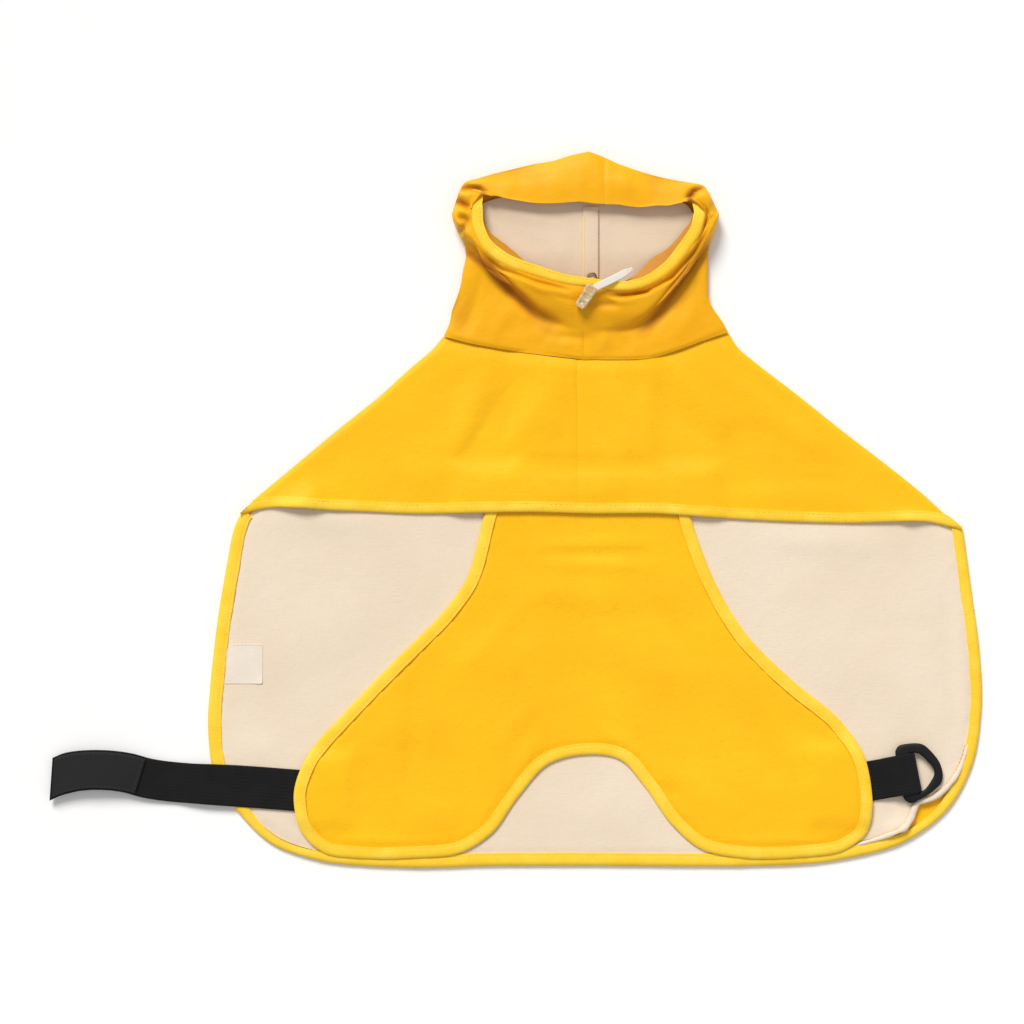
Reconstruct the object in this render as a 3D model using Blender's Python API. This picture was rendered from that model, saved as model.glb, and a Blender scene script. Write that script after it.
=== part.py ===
# A hooded dog raincoat laid on its back, belly side up.
# Lengths are millimetres until a mesh is made; +Y runs to the head, +Z up, and the coat rests on z = 0.
import math
from collections import namedtuple

import bmesh
import bpy
from mathutils import Vector
from mathutils.geometry import delaunay_2d_cdt

MM = 0.001

# Cloth, tape and gaps
CLOTH = 1.2
LINING = 1.0
SEAM_GAP = 0.3
LAY_GAP = 0.3
BINDING_WIDTH = 6.5
BINDING_THICK = 2.6
TRIM_THICK = 2.2
TRIM_SET_BACK = BINDING_WIDTH + SEAM_GAP
WEBBING_WIDTH = 25.0
WEBBING_THICK = 1.4

# Heights of the layers where the coat lies plain on the table
LINING_Z = CLOTH + LAY_GAP
LINING_TOP = LINING_Z + LINING
PANEL_Z = LINING_TOP + 0.4

# Leash flap under the back, and visor folded back under the hood
FLAP_HALF = 33.0
FLAP_TOP = 104.0
FLAP_ROUND_Y = 66.0
FLAP_ROUND_DEPTH = 27.0
SMALL_TAPE_WIDTH = 5.5
SMALL_TAPE_THICK = 1.8
UNDER_LIFT = 2.2
VISOR_HALF = 71.0
VISOR_LOW = 163.0
VISOR_THICK = 1.0

# Neck and hood
HOOD_LINING_LIFT = 0.7
NECK_BACK_Y = 106.3
CENTRE_X = -2.5
CHEST_SEAM = 0.467

# Drawcord and stopper
CORD_DIAMETER = 2.6
STOPPER_WIDTH = 8.2
STOPPER_HEIGHT = 5.6
STOPPER_BORE = 3.7

# Belt loop
LOOP_CENTRE = (199.5, -166.0)
LOOP_TILT = math.radians(11.0)
LOOP_THICK = 2.8
LOOP_Z = LINING_TOP + 0.3 + WEBBING_THICK + 0.5

# Bound edge of the back: left side corner, round the hem, right side corner
BACK_EDGE = (
    (-222, -9), (-227, -36), (-233, -70), (-238, -110), (-239, -136), (-234, -166), (-219, -190),
    (-198, -210), (-166, -221), (-110, -226), (0, -226), (100, -225.5), (152, -221), (198, -209),
    (226, -188), (241, -160), (247, -125), (246, -90), (241, -52), (236, -19),
)

# Side folds of the body, from the chest hem up to the neck
LEFT_FOLD = ((-215, 0), (-204, 10), (-180, 30), (-156, 50), (-131, 70), (-110, 89), (-97, 100), (-90.5, 107))
RIGHT_FOLD = ((229, -8), (209, 10), (184, 30), (158, 50), (133, 70), (107, 90), (94, 101), (88, 109.5))

# Lower edge of the chest's hem binding, and where the cloth meets that binding at the side folds
CHEST_CORNERS = ((-210.0, 5.0), (224.6, -4.2))
CHEST_HEM = (
    (-220, -4), (-198, 1), (-158, -1), (-108, -3), (-38, -2), (2, -3), (42, -3),
    (102, -7), (162, -9), (212, -8), (234, -13),
)

# Outer edge of the belly panel: down the left side, round both lobes, up the right side
BELLY_EDGE = (
    (-61, 12), (-66, -8), (-76, -44), (-92, -66), (-121, -95), (-152, -127), (-176, -155), (-184, -178),
    (-179, -203), (-165, -215.5), (-136, -219), (-108, -218.5), (-80, -215.5), (-60, -203), (-44, -181),
    (-25, -160), (-2.5, -154), (20, -157), (36, -174.5), (52, -197), (71, -213), (96, -218.5),
    (128, -218.5), (160, -214), (174.5, -203), (178, -187), (173, -155), (157, -131.5), (128, -107.5),
    (99.5, -79), (80, -47), (67, -14), (60, 12),
)

# Loose edge of the lining across the lower right corner
LINING_RECESS = (
    (168, -211), (185, -206), (199, -199.5), (203, -193), (206.5, -185), (217, -181), (225.5, -173.5),
    (230.5, -165), (233, -157),
)

# Hood: one row for each section, from the neck seam (0) over the throat fold (2, 3) and the
# crown fold (5) to the rim (7). Each row runs from the throat centre round the side to the back centre.
Section = namedtuple("Section", "throat_y throat_z front_z cheek_z side_z ear_z back_z crown_y crown_z")
SECTIONS = (
    Section(93.2, 7.8, 6.8, 6.4, 5.6, 0.0, 0.0, 106.3, 0.0),
    Section(102.0, 8.2, 7.0, 6.4, 5.6, 0.0, 0.0, 131.0, 0.0),
    Section(110.0, 9.0, 6.8, 6.4, 5.6, 0.0, 0.0, 163.0, 0.0),
    Section(114.0, 9.8, 10.4, 10.6, 6.6, 0.0, 0.0, 190.0, 0.0),
    Section(121.0, 11.6, 13.4, 13.4, 7.0, 0.0, 0.0, 211.0, 0.0),
    Section(129.0, 13.0, 15.0, 15.0, 9.5, 6.6, 6.2, 223.0, 6.2),
    Section(134.0, 13.6, 15.4, 15.4, 14.4, 12.0, 12.0, 207.0, 12.2),
    Section(138.2, 14.0, 15.0, 15.0, 14.6, 12.6, 12.4, 191.6, 12.6),
)
Half = namedtuple("Half", "front_x front_y cheek_x cheek_y side_x side_y ear_x ear_y back_x back_y")
LEFT_HALF = (
    Half(-46, 98.5, -76, 104.0, -90.5, 108.0, -86.5, 107.4, -42, 106.3),
    Half(-44, 107.0, -73, 115.0, -86.5, 124.0, -82.5, 127.0, -42, 130.0),
    Half(-33, 121.0, -57, 139.5, -79.0, 158.0, -74, 158.0, -40, 161.0),
    Half(-33, 124.5, -57, 143.0, -80.0, 164.0, -75, 177.0, -39, 185.0),
    Half(-33, 129.5, -61, 147.5, -83.0, 174.0, -77, 192.0, -38, 204.0),
    Half(-33, 135.0, -65, 153.0, -84.5, 186.0, -77, 204.5, -38, 215.5),
    Half(-33, 140.5, -64, 157.0, -76.4, 187.2, -73, 203.0, -34, 204.0),
    Half(-34, 144.8, -61, 158.0, -73.2, 187.0, -69, 199.5, -32, 191.3),
)
RIGHT_HALF = (
    Half(40, 94.5, 72, 105.0, 88.0, 110.5, 84, 109.6, 38, 106.3),
    Half(40, 103.5, 68, 114.5, 80.5, 126.0, 76.5, 128.0, 38, 130.0),
    Half(32, 114.0, 59, 141.0, 75.5, 160.0, 71, 158.0, 37, 161.0),
    Half(32, 117.5, 60, 145.0, 76.5, 166.0, 72, 177.0, 36, 185.0),
    Half(34, 122.0, 62.5, 147.8, 80.5, 176.0, 73, 191.0, 35, 202.5),
    Half(34, 127.5, 63.2, 150.2, 81.5, 185.0, 73, 201.5, 35, 212.5),
    Half(35, 133.0, 65, 158.0, 76.6, 184.2, 70, 199.5, 33, 201.5),
    Half(34, 137.2, 60, 157.0, 73.4, 184.0, 66, 195.5, 31, 189.8),
)
HOOD_ACROSS = 4
SIDE_STATION = 3
FLARED_SECTION = 6
TURN_STEEP = 0.75
TURN_SHARE = 0.6
HOOD_ALONG = 2

# Rim of the face opening: outer edge of its binding, left end, throat, right end
RIM = (
    (-73.2, 187, 14.2), (-72.4, 176, 14.6), (-67, 163.8, 15.0), (-54, 152.8, 15.0), (-34, 145.2, 15.0),
    (-12, 139.6, 14.4), (3, 138.0, 14.2), (16, 135.9, 14.3), (34, 137.6, 15.0), (50, 146.4, 15.0),
    (62, 160, 15.0), (70.5, 173, 14.8), (73.4, 184, 14.4),
)

# The hood's last rows beside the rim: how far outside it and how much higher
RIM_ROWS = ((-1, 0.0, 0.0), (-2, 1.6, 0.4), (-3, 3.2, 0.5))

# How far the facing shows inside the rim binding, along the rim
Facing = namedtuple("Facing", "along shows")
FACING_WIDTHS = (Facing(0.0, -2.5), Facing(0.10, 1.0), Facing(0.22, 4.5), Facing(0.36, -1.0),
                 Facing(0.56, -2.0), Facing(0.72, 7.0), Facing(0.84, 3.0), Facing(1.0, -2.5))

HOOD_LINING_EDGE = (
    (-60, 106.6), (60, 106.6), (59, 128), (61, 148), (69, 163), (68, 180), (62, 190), (33, 198), (0, 205),
    (-36, 199), (-67, 190), (-72, 178), (-70, 163), (-62, 148), (-60, 128),
)

VISOR_EDGE = ((-66, 195), (-68, 184), (-61, 172), (-42, 167), (0, 165.5), (42, 167), (61, 172), (68, 184), (66, 194))
VISOR_TOP = ((66, 194), (33, 205), (0, 211), (-33, 206), (-66, 195))

# Long belt strap: where its middle runs and how high its underside is
Strap = namedtuple("Strap", "x y z width")
LONG_STRAP = (
    Strap(-337, -171.5, 5.2, 20), Strap(-331, -168, 6.4, 23), Strap(-322, -164.5, 7.8, 24),
    Strap(-311, -163, 8.6, 25), Strap(-299, -163.3, 8.0, 25), Strap(-288, -165, 6.0, 25),
    Strap(-276, -168.5, 3.6, 25), Strap(-264, -170.6, 1.4, 25), Strap(-256, -171.4, 1.2, 25),
    Strap(-247, -172, 2.6, 25), Strap(-238, -172.5, 3.1, 25.5), Strap(-222, -173.4, 2.95, 26),
    Strap(-204, -174.6, 2.85, 26), Strap(-186, -176, 2.8, 26), Strap(-158, -178, 2.8, 25),
)
HOOK_PATCH_END = -279.0
HOOK_PATCH_THICK = 1.0

# Short belt strap: path of its middle through the loop, along the strap and in height
SHORT_STRAP = (
    (-14, 3.5), (-6, 3.5), (2, 3.5), (4.9, 3.75), (6.3, 5.2), (6.3, 7.2), (4.9, 8.6), (2.0, 8.85),
    (-4.4, 8.75), (-8.0, 7.4), (-11.5, 5.75), (-15, 5.2), (-18.5, 4.3), (-22, 3.6), (-36, 3.5), (-50, 3.5),
)

LOOP_OUTER = (
    (-4.5, 15.6), (-2, 18.4), (5, 18.6), (13, 16.6), (18, 10.5), (21.6, 2.8), (21.9, -5), (20, -9.4),
    (13.2, -14), (5, -17), (-1, -18.4), (-4.6, -15.4),
)
LOOP_INNER = (
    (3.75, 13.6), (6.5, 13.9), (10, 12.6), (14.2, 8), (17.6, 0.5), (17.4, -4.5), (14.2, -9),
    (9.5, -12.8), (6.2, -13.9), (3.75, -13.6),
)

LABEL = (-229.6, -109.5, -204.0, -84.0)
TAPE = (-3.0, 142.0, 7.0, 189.0)
EYELET = (2.5, 147.0)
EYELET_OUTER = 3.5
EYELET_INNER = 2.0

# Soft ridges and hollows of the laid panels: a line, its half width and its height
Fold = namedtuple("Fold", "x0 y0 x1 y1 width height")
LINING_FOLDS = (
    Fold(190, -206, 202, -198, 5, 1.8),
    Fold(212, -184, 231, -168, 4, 1.2),
    Fold(-213, -207, -220, -200, 5, 1.2),
)
CHEST_FOLDS = (
    Fold(-205, 4, -165, 4, 20, 3.6),
    Fold(195, -2, 222, -4, 20, 3.6),
    Fold(-62, 90, -84, 30, 9, 1.3),
    Fold(-20, 84, -34, 20, 12, 0.9),
    Fold(52, 90, 92, 40, 11, 1.1),
    Fold(14, 84, 26, 26, 10, 0.8),
)


# ---------------------------------------------------------------- curves and outlines

def smooth(points, spacing, closed=False, step=0.05):
    """Evenly spaced points on a smooth curve through the given points."""
    knots = [Vector(point) for point in points]
    last = len(knots) if closed else len(knots) - 1
    dense = []
    for index in range(last):
        start = knots[index]
        end = knots[(index + 1) % len(knots)]
        before = knots[index - 1] if closed or index > 0 else start * 2 - end
        after_index = index + 2
        inside = closed or after_index < len(knots)
        after = knots[after_index % len(knots)] if inside else end * 2 - start
        start_slope = knot_slope(before, start, end)
        end_slope = knot_slope(start, end, after)
        count = max(2, int(1 / step))
        for tick in range(count):
            dense.append(hermite(start, end, start_slope, end_slope, tick / count))
    if not closed:
        dense.append(knots[-1])
    return even(dense, spacing, closed)


def knot_slope(before, here, after):
    """Tangent at a knot, as long as the shorter chord beside it, so that no curve overshoots."""
    first = (here - before).length
    second = (after - here).length
    slope = ((here - before) / first * second + (after - here) / second * first) / (first + second)
    return slope * min(first, second)


def hermite(start, end, start_tangent, end_tangent, t):
    square = t * t
    cube = square * t
    return (start * (2 * cube - 3 * square + 1) + start_tangent * (cube - 2 * square + t)
            + end * (3 * square - 2 * cube) + end_tangent * (cube - square))


def even(points, spacing, closed=False):
    """The same line with points about one spacing apart."""
    line = points + [points[0]] if closed else points
    lengths = [0.0]
    for first, second in zip(line, line[1:]):
        lengths.append(lengths[-1] + (second - first).length)
    count = max(2, round(lengths[-1] / spacing))
    result = []
    segment = 0
    for index in range(count if closed else count + 1):
        target = lengths[-1] * index / count
        while segment < len(line) - 2 and lengths[segment + 1] < target:
            segment += 1
        part = lengths[segment + 1] - lengths[segment]
        result.append(line[segment].lerp(line[segment + 1], (target - lengths[segment]) / part if part else 0))
    return result


def sideways(path, index, closed=False):
    """Unit vector in plan to the left of a path."""
    count = len(path)
    before = path[index - 1] if closed or index > 0 else path[index]
    after = path[(index + 1) % count] if closed or index < count - 1 else path[index]
    along = after - before
    return Vector((-along.y, along.x)).normalized()


def inset(path, distance, closed=False):
    """A path moved to its left in plan; heights stay."""
    moved = []
    for index, point in enumerate(path):
        side = sideways(path, index, closed) * distance
        if len(point) == 3:
            side = Vector((side.x, side.y, 0.0))
        moved.append(point + side)
    return moved


def soft_step(value):
    value = min(1.0, max(0.0, value))
    return value * value * (3 - 2 * value)


def box_fade(x, y, low_x, low_y, high_x, high_y, fade):
    """1 inside a rectangle, falling softly to 0 at one fade outside it."""
    outside = max(low_x - x, x - high_x, low_y - y, y - high_y)
    return soft_step(1 - outside / fade)


def fold_height(x, y, folds):
    """Sum of the soft ridges at one place."""
    total = 0.0
    here = Vector((x, y))
    for fold in folds:
        start = Vector((fold.x0, fold.y0))
        along = Vector((fold.x1, fold.y1)) - start
        share = min(1.0, max(0.0, (here - start).dot(along) / along.length_squared))
        away = (here - start - along * share).length
        total += fold.height * math.exp(-(away / fold.width) ** 2)
    return total


# ---------------------------------------------------------------- heights of the layers

def under_lift(x, y):
    """How far the leash flap and the folded visor raise the coat off the table."""
    flap = box_fade(x, y, -FLAP_HALF - 2, FLAP_ROUND_Y - FLAP_ROUND_DEPTH - 2, FLAP_HALF + 2, 107, 16)
    visor = box_fade(x, y, -VISOR_HALF, VISOR_LOW, VISOR_HALF, 240, 22)
    return UNDER_LIFT * max(flap, visor)


def back_z(x, y):
    return under_lift(x, y)


def lining_z(x, y):
    return under_lift(x, y) + LINING_Z + fold_height(x, y, LINING_FOLDS)


def lining_top(x, y):
    return lining_z(x, y) + LINING


def strap_lift(x, y):
    """How far the belt straps raise the belly panel over them."""
    left = box_fade(x, y, -240, -193, -154, -160, 13)
    right = box_fade(x, y, 145, -191, 240, -154, 13)
    return (WEBBING_THICK + LAY_GAP) * max(left, right)


def belly_z(x, y):
    return under_lift(x, y) + PANEL_Z + strap_lift(x, y)


def belly_cover(x, y):
    """How far the belly panel's sewn top raises the chest over it."""
    return (TRIM_THICK + LAY_GAP) * box_fade(x, y, -76, -26, 74, 18, 16)


def fold_distance(x, y):
    """Distance in plan from the nearer side fold of the body."""
    here = Vector((x, y))
    best = math.inf
    for line in (LEFT_FOLD, RIGHT_FOLD):
        for first, second in zip(line, line[1:]):
            start = Vector(first)
            along = Vector(second) - start
            share = min(1.0, max(0.0, (here - start).dot(along) / along.length_squared))
            best = min(best, (here - start - along * share).length)
    return best


def chest_z(x, y, from_fold=None):
    """Underside of the chest, which rolls down to the table at the body's side folds."""
    if from_fold is None:
        from_fold = fold_distance(x, y)
    rolled = 0.15 + (PANEL_Z - 0.15) * min(1.0, from_fold / 4.2)
    inner = soft_step((from_fold - 4.2) / 22)
    neck = 1.0 * soft_step((y - 60) / 40) * inner
    raised = fold_height(x, y, CHEST_FOLDS) * inner + neck
    return under_lift(x, y) + rolled + belly_cover(x, y) + raised


# ---------------------------------------------------------------- meshes

def finish(name, mesh_data, material, round_shading=True):
    """Make an object from a bmesh in millimetres, faces pointing out."""
    bmesh.ops.recalc_face_normals(mesh_data, faces=mesh_data.faces)
    bmesh.ops.scale(mesh_data, vec=(MM, MM, MM), verts=mesh_data.verts)
    mesh = bpy.data.meshes.new(name)
    mesh_data.to_mesh(mesh)
    mesh_data.free()
    if round_shading:
        mesh.shade_smooth()
        mesh.set_sharp_from_angle(angle=math.radians(40))
    mesh.materials.append(material)
    thing = bpy.data.objects.new(name, mesh)
    bpy.context.scene.collection.objects.link(thing)
    return thing


def fill_points(outline, cell):
    """Points of a triangular grid that lie well inside an outline."""
    low_x = min(point.x for point in outline)
    high_x = max(point.x for point in outline)
    low_y = min(point.y for point in outline)
    high_y = max(point.y for point in outline)
    row_height = cell * 0.87
    found = []
    for row in range(int((high_y - low_y) / row_height) + 1):
        y = low_y + (row + 0.5) * row_height
        shift = cell * 0.5 * (row % 2)
        for column in range(int((high_x - low_x) / cell) + 2):
            here = Vector((low_x + column * cell + shift, y))
            if inside(here, outline) and nearest(here, outline) > cell * 0.55:
                found.append(here)
    return found


def inside(point, outline):
    hit = False
    for first, second in zip(outline, outline[1:] + outline[:1]):
        if (first.y > point.y) != (second.y > point.y):
            cross = first.x + (point.y - first.y) / (second.y - first.y) * (second.x - first.x)
            hit = hit != (point.x < cross)
    return hit


def nearest(point, outline):
    return min((point - corner.xy).length for corner in outline)


def sheet(name, outline, cell, bottom, thick, material, creases=()):
    """A laid panel: an outline filled with triangles, raised by a height function.

    The creases are more points inside it, where its height changes.
    """
    flat = [point.xy for point in outline]
    count = len(flat)
    creased = [point.xy for point in creases if inside(point, flat) and nearest(point, flat) > cell * 0.2]
    filled = fill_points(flat, cell)
    if creased:
        filled = [point for point in filled if nearest(point, creased) > cell * 0.45]
    spots = flat + creased + filled
    edges = [(index, (index + 1) % count) for index in range(count)]
    spots, _, faces = delaunay_2d_cdt(spots, edges, [list(range(count))], 1, 1e-5)[:3]
    data = bmesh.new()
    lows = [data.verts.new((spot.x, spot.y, bottom(spot.x, spot.y))) for spot in spots]
    highs = [data.verts.new((low.co.x, low.co.y, low.co.z + thick)) for low in lows]
    for face in faces:
        data.faces.new([highs[index] for index in face])
        data.faces.new([lows[index] for index in reversed(face)])
    rim = [edge for edge in data.edges if len(edge.link_faces) == 1]
    upper = {high: low for low, high in zip(lows, highs)}
    for edge in rim:
        first, second = edge.verts
        if first in upper and second in upper:
            data.faces.new((first, second, upper[second], upper[first]))
    return finish(name, data, material)


def strip(name, stations, material, closed=False, round_shading=True):
    """A solid through equal rings of points, capped at both ends unless closed."""
    data = bmesh.new()
    rings = [[data.verts.new(point) for point in station] for station in stations]
    last = len(rings) if closed else len(rings) - 1
    for index in range(last):
        here = rings[index]
        there = rings[(index + 1) % len(rings)]
        for corner in range(len(here)):
            following = (corner + 1) % len(here)
            data.faces.new((here[corner], here[following], there[following], there[corner]))
    if not closed:
        data.faces.new(rings[0])
        data.faces.new(list(reversed(rings[-1])))
    bmesh.ops.triangulate(data, faces=data.faces[:])
    return finish(name, data, material, round_shading)


def binding(name, edge, width, thick, bottom, material, ends=(None, None)):
    """Folded tape along an edge: a flat bar with softened sides, its middle half a width in.

    The ends may be slanted: each is then a step across the bar of one unit of its width.
    """
    soft = 0.9
    half = width / 2
    stations = []
    middle = inset(edge, half)
    for index, point in enumerate(middle):
        side = sideways(middle, index)
        slant = ends[0] if index == 0 else ends[1] if index == len(middle) - 1 else None
        if slant:
            side = Vector(slant)
            point = edge[index] + side * half
        base = bottom(point.x, point.y)
        ring = []
        profile = ((-half, thick / 2), (-half + soft, 0), (half - soft, 0),
                   (half, thick / 2), (half - soft, thick), (-half + soft, thick))
        for across, up in profile:
            spot = point.xy + side * across
            ring.append((spot.x, spot.y, base + up))
        stations.append(ring)
    return strip(name, stations, material)


def ribbon(name, stations, thick, material):
    """A flat strap; each station is a left edge point and a right edge point of its underside."""
    rings = []
    for left, right in stations:
        rings.append((left, right, right + Vector((0, 0, thick)), left + Vector((0, 0, thick))))
    return strip(name, rings, material)


# ---------------------------------------------------------------- materials

def linear(value):
    value /= 255
    return value / 12.92 if value <= 0.04045 else ((value + 0.055) / 1.055) ** 2.4


def make_material(name, colour, roughness, metallic=0.0):
    material = bpy.data.materials.new(name)
    material.use_nodes = True
    shader = material.node_tree.nodes["Principled BSDF"]
    shader.inputs["Base Color"].default_value = (*[linear(value) for value in colour], 1.0)
    shader.inputs["Roughness"].default_value = roughness
    shader.inputs["Metallic"].default_value = metallic
    return material


def yellow_cloth():
    return make_material("yellow_cloth", (253, 193, 33), 0.55)


def yellow_tape():
    return make_material("yellow_tape", (254, 213, 64), 0.6)


def cream_lining():
    return make_material("cream_lining", (242, 225, 202), 0.85)


def black_webbing():
    return make_material("black_webbing", (36, 35, 35), 0.8)


def hook_tape():
    return make_material("hook_tape", (39, 39, 41), 0.7)


def black_plastic():
    return make_material("black_plastic", (28, 28, 28), 0.35)


def clear_film():
    return make_material("clear_film", (249, 245, 242), 0.15)


def clear_plastic():
    return make_material("clear_plastic", (226, 206, 176), 0.3)


def white_elastic():
    return make_material("white_elastic", (244, 238, 230), 0.8)


def white_label():
    return make_material("white_label", (250, 247, 243), 0.7)


def eyelet_metal():
    return make_material("eyelet_metal", (170, 150, 125), 0.35, 1.0)


# ---------------------------------------------------------------- body panels

def build_leash_flap(cloth, tape):
    edge = even(flap_edge(0.0), 8.0)
    sheet("leash_flap", inset(edge, SMALL_TAPE_WIDTH + SEAM_GAP), 16, lambda x, y: 0.0, CLOTH, cloth)
    binding("leash_flap_binding", edge, SMALL_TAPE_WIDTH, SMALL_TAPE_THICK, lambda x, y: 0.0, tape)


def build_visor(film, tape):
    edge = smooth(VISOR_EDGE, 9.0)
    outline = inset(edge, SMALL_TAPE_WIDTH + SEAM_GAP)
    outline += smooth(VISOR_TOP, 12.0)[1:-1]
    sheet("visor", outline, 17, lambda x, y: 0.0, VISOR_THICK, film)
    binding("visor_binding", edge, SMALL_TAPE_WIDTH, SMALL_TAPE_THICK, lambda x, y: 0.0, tape)


def body_outline(fold_inset, hem):
    """Outline of a back layer: its hem edge, the right fold, the neck and the left fold."""
    right = inset(smooth(RIGHT_FOLD, 18.0), fold_inset)
    left = inset(smooth(list(reversed(LEFT_FOLD)), 18.0), fold_inset)
    neck = [Vector((x, NECK_BACK_Y - SEAM_GAP)) for x in (66, 44, 22, 0, -22, -44, -66)]
    below_neck = [point for point in right if point.y < NECK_BACK_Y - 4]
    left_below = [point for point in left if point.y < NECK_BACK_Y - 4]
    corner_right = [Vector((86.5 - fold_inset, NECK_BACK_Y - SEAM_GAP))]
    corner_left = [Vector((-88.5 + fold_inset, NECK_BACK_Y - SEAM_GAP))]
    return hem + below_neck + corner_right + neck + corner_left + left_below


def flap_edge(outset):
    """Outline of the leash flap, moved outward."""
    reach = FLAP_HALF + outset
    depth = FLAP_ROUND_DEPTH + outset
    edge = [Vector((-reach, FLAP_TOP))]
    arc_steps = 16
    for index in range(arc_steps + 1):
        turn = math.pi + math.pi * index / arc_steps
        edge.append(Vector((reach * math.cos(turn), FLAP_ROUND_Y + depth * math.sin(turn))))
    edge.append(Vector((reach, FLAP_TOP)))
    return edge


def build_back(cloth, lining, tape):
    edge = smooth(BACK_EDGE, 17.0)
    hem = inset(edge, TRIM_SET_BACK)
    creases = even(flap_edge(1.0), 13.0) + even(flap_edge(16.0), 18.0)
    sheet("back_outer", body_outline(3.0, hem), 21, back_z, CLOTH, cloth, creases)
    before = [point for point in hem if point.x < 160 and point.y < -150 or point.x < 0]
    after = [point for point in hem if point.x > 160 and point.y > -152]
    loose = smooth(LINING_RECESS, 9.0)
    ridge = [Vector(point) for point in ((180, -199), (188, -196), (194, -191), (201, -187), (212, -176))]
    sheet("back_lining", body_outline(11.0, before + loose + after), 21, lining_z, LINING, lining, creases + ridge)
    binding("back_binding", edge, BINDING_WIDTH, BINDING_THICK, lambda x, y: 0.0, tape)


def strap_outline(outset):
    """Lines along the two straps where they lie under the belly panel, moved outward."""
    points = []
    for x in (-178, -166, -154 + outset):
        points += [Vector((x, -160 + outset)), Vector((x, -193 - outset))]
    points.append(Vector((-154 + outset, -176)))
    for x in (145 - outset, 158, 170):
        points += [Vector((x, -154 + outset)), Vector((x, -191 - outset))]
    points.append(Vector((145 - outset, -172)))
    return points


def build_belly(cloth, tape):
    edge = smooth(BELLY_EDGE, 13.0)
    outline = inset(edge, TRIM_SET_BACK)
    top_y = edge[0].y
    outline += [Vector((x, top_y)) for x in (36, 18, 0, -18, -36)]
    creases = strap_outline(1.0) + strap_outline(13.0)
    sheet("belly_panel", outline, 17, belly_z, CLOTH, cloth, creases)
    binding("belly_binding", edge, BINDING_WIDTH, TRIM_THICK, belly_z, tape)


def chest_rows(row_count):
    """Left, right, hem and neck edges of the chest as equal counts of points."""
    hem = inset(smooth(CHEST_HEM, 4.0), TRIM_SET_BACK)
    hem = [point for point in hem if CHEST_CORNERS[0][0] + 2 < point.x < CHEST_CORNERS[1][0] - 2]
    hem = even([Vector(CHEST_CORNERS[0])] + hem + [Vector(CHEST_CORNERS[1])], 4.0)
    row = LEFT_HALF[0]
    neck_points = [(row.side_x, row.side_y), (row.cheek_x, row.cheek_y), (row.front_x, row.front_y)]
    neck_points.append((CENTRE_X, SECTIONS[0].throat_y))
    row = RIGHT_HALF[0]
    neck_points += [(row.front_x, row.front_y), (row.cheek_x, row.cheek_y), (row.side_x, row.side_y)]
    neck = [point - Vector((0, 0.5)) for point in smooth(neck_points, 3.0)]
    left = LEFT_FOLD[1:-1]
    right = RIGHT_FOLD[1:-1]
    left = smooth([hem[0]] + [Vector(point) for point in left] + [neck[0]], 3.0)
    right = smooth([hem[-1]] + [Vector(point) for point in right] + [neck[-1]], 3.0)
    return hem, neck, resample(left, row_count), resample(right, row_count)


def resample(path, count):
    """A path as a set number of even points."""
    length = sum((second - first).length for first, second in zip(path, path[1:]))
    return even(path, length / (count - 1) * 1.0001)[:count]


def at(path, share):
    """The point a share of the way along an even path."""
    place = share * (len(path) - 1)
    index = min(len(path) - 2, int(place))
    return path[index].lerp(path[index + 1], place - index)


def build_chest(cloth, tape):
    row_count = 9
    fold_slant = 0.64
    hem, neck, left, right = chest_rows(row_count)
    for name, side, sign in (("chest_left", 0.0, 1), ("chest_right", 1.0, -1)):
        lows = []
        for row in range(row_count):
            up = row / (row_count - 1)
            width = (right[row] - left[row]).length
            shares = [distance / fold_slant / width for distance in (0.0, 1.9, 4.2, 10.0, 20.0)]
            reach = CHEST_SEAM if sign > 0 else 1 - CHEST_SEAM
            reach -= SEAM_GAP / 2 / width
            inner_columns = 8
            first = shares[-1]
            shares += [first + (reach - first) * (step + 1) / inner_columns for step in range(inner_columns)]
            line = []
            for share in shares:
                across = side + sign * share
                edge_blend = left[row] * (1 - across) + right[row] * across
                rise = at(hem, across) * (1 - up) + at(neck, across) * up
                corners = (hem[0] * (1 - across) + hem[-1] * across) * (1 - up)
                corners += (neck[0] * (1 - across) + neck[-1] * across) * up
                spot = edge_blend + rise - corners
                from_fold = 0.0 if share == 0.0 else None
                line.append(Vector((spot.x, spot.y, chest_z(spot.x, spot.y, from_fold))))
            lows.append(line)
        highs = [[point + Vector((0, 0, CLOTH)) for point in line] for line in lows]
        wall(name, lows, highs, cloth)
    edge = smooth(CHEST_HEM, 15.0)
    hem_height = lambda x, y: chest_z(x, y, max(4.2, fold_distance(x, y)))
    slants = ((1.5, 1.38), (-1.44, 1.35))
    binding("chest_binding", edge, BINDING_WIDTH, TRIM_THICK, hem_height, tape, slants)


def wall(name, lows, highs, material):
    """A wall between two equal grids of points, closed along its four edges."""
    data = bmesh.new()
    low = [[data.verts.new(point) for point in row] for row in lows]
    high = [[data.verts.new(point) for point in row] for row in highs]
    last_row = len(low) - 1
    last_column = len(low[0]) - 1
    for row in range(last_row):
        for column in range(last_column):
            for grid, turn in ((low, -1), (high, 1)):
                corners = [grid[row][column], grid[row][column + 1],
                           grid[row + 1][column + 1], grid[row + 1][column]]
                data.faces.new(corners[::turn])
    border = [(0, column) for column in range(last_column)]
    border += [(row, last_column) for row in range(last_row)]
    border += [(last_row, column) for column in range(last_column, 0, -1)]
    border += [(row, 0) for row in range(last_row, 0, -1)]
    for (row, column), (next_row, next_column) in zip(border, border[1:] + border[:1]):
        data.faces.new((low[row][column], low[next_row][next_column],
                        high[next_row][next_column], high[row][column]))
    bmesh.ops.triangulate(data, faces=data.faces[:])
    return finish(name, data, material)


# ---------------------------------------------------------------- hood

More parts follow.
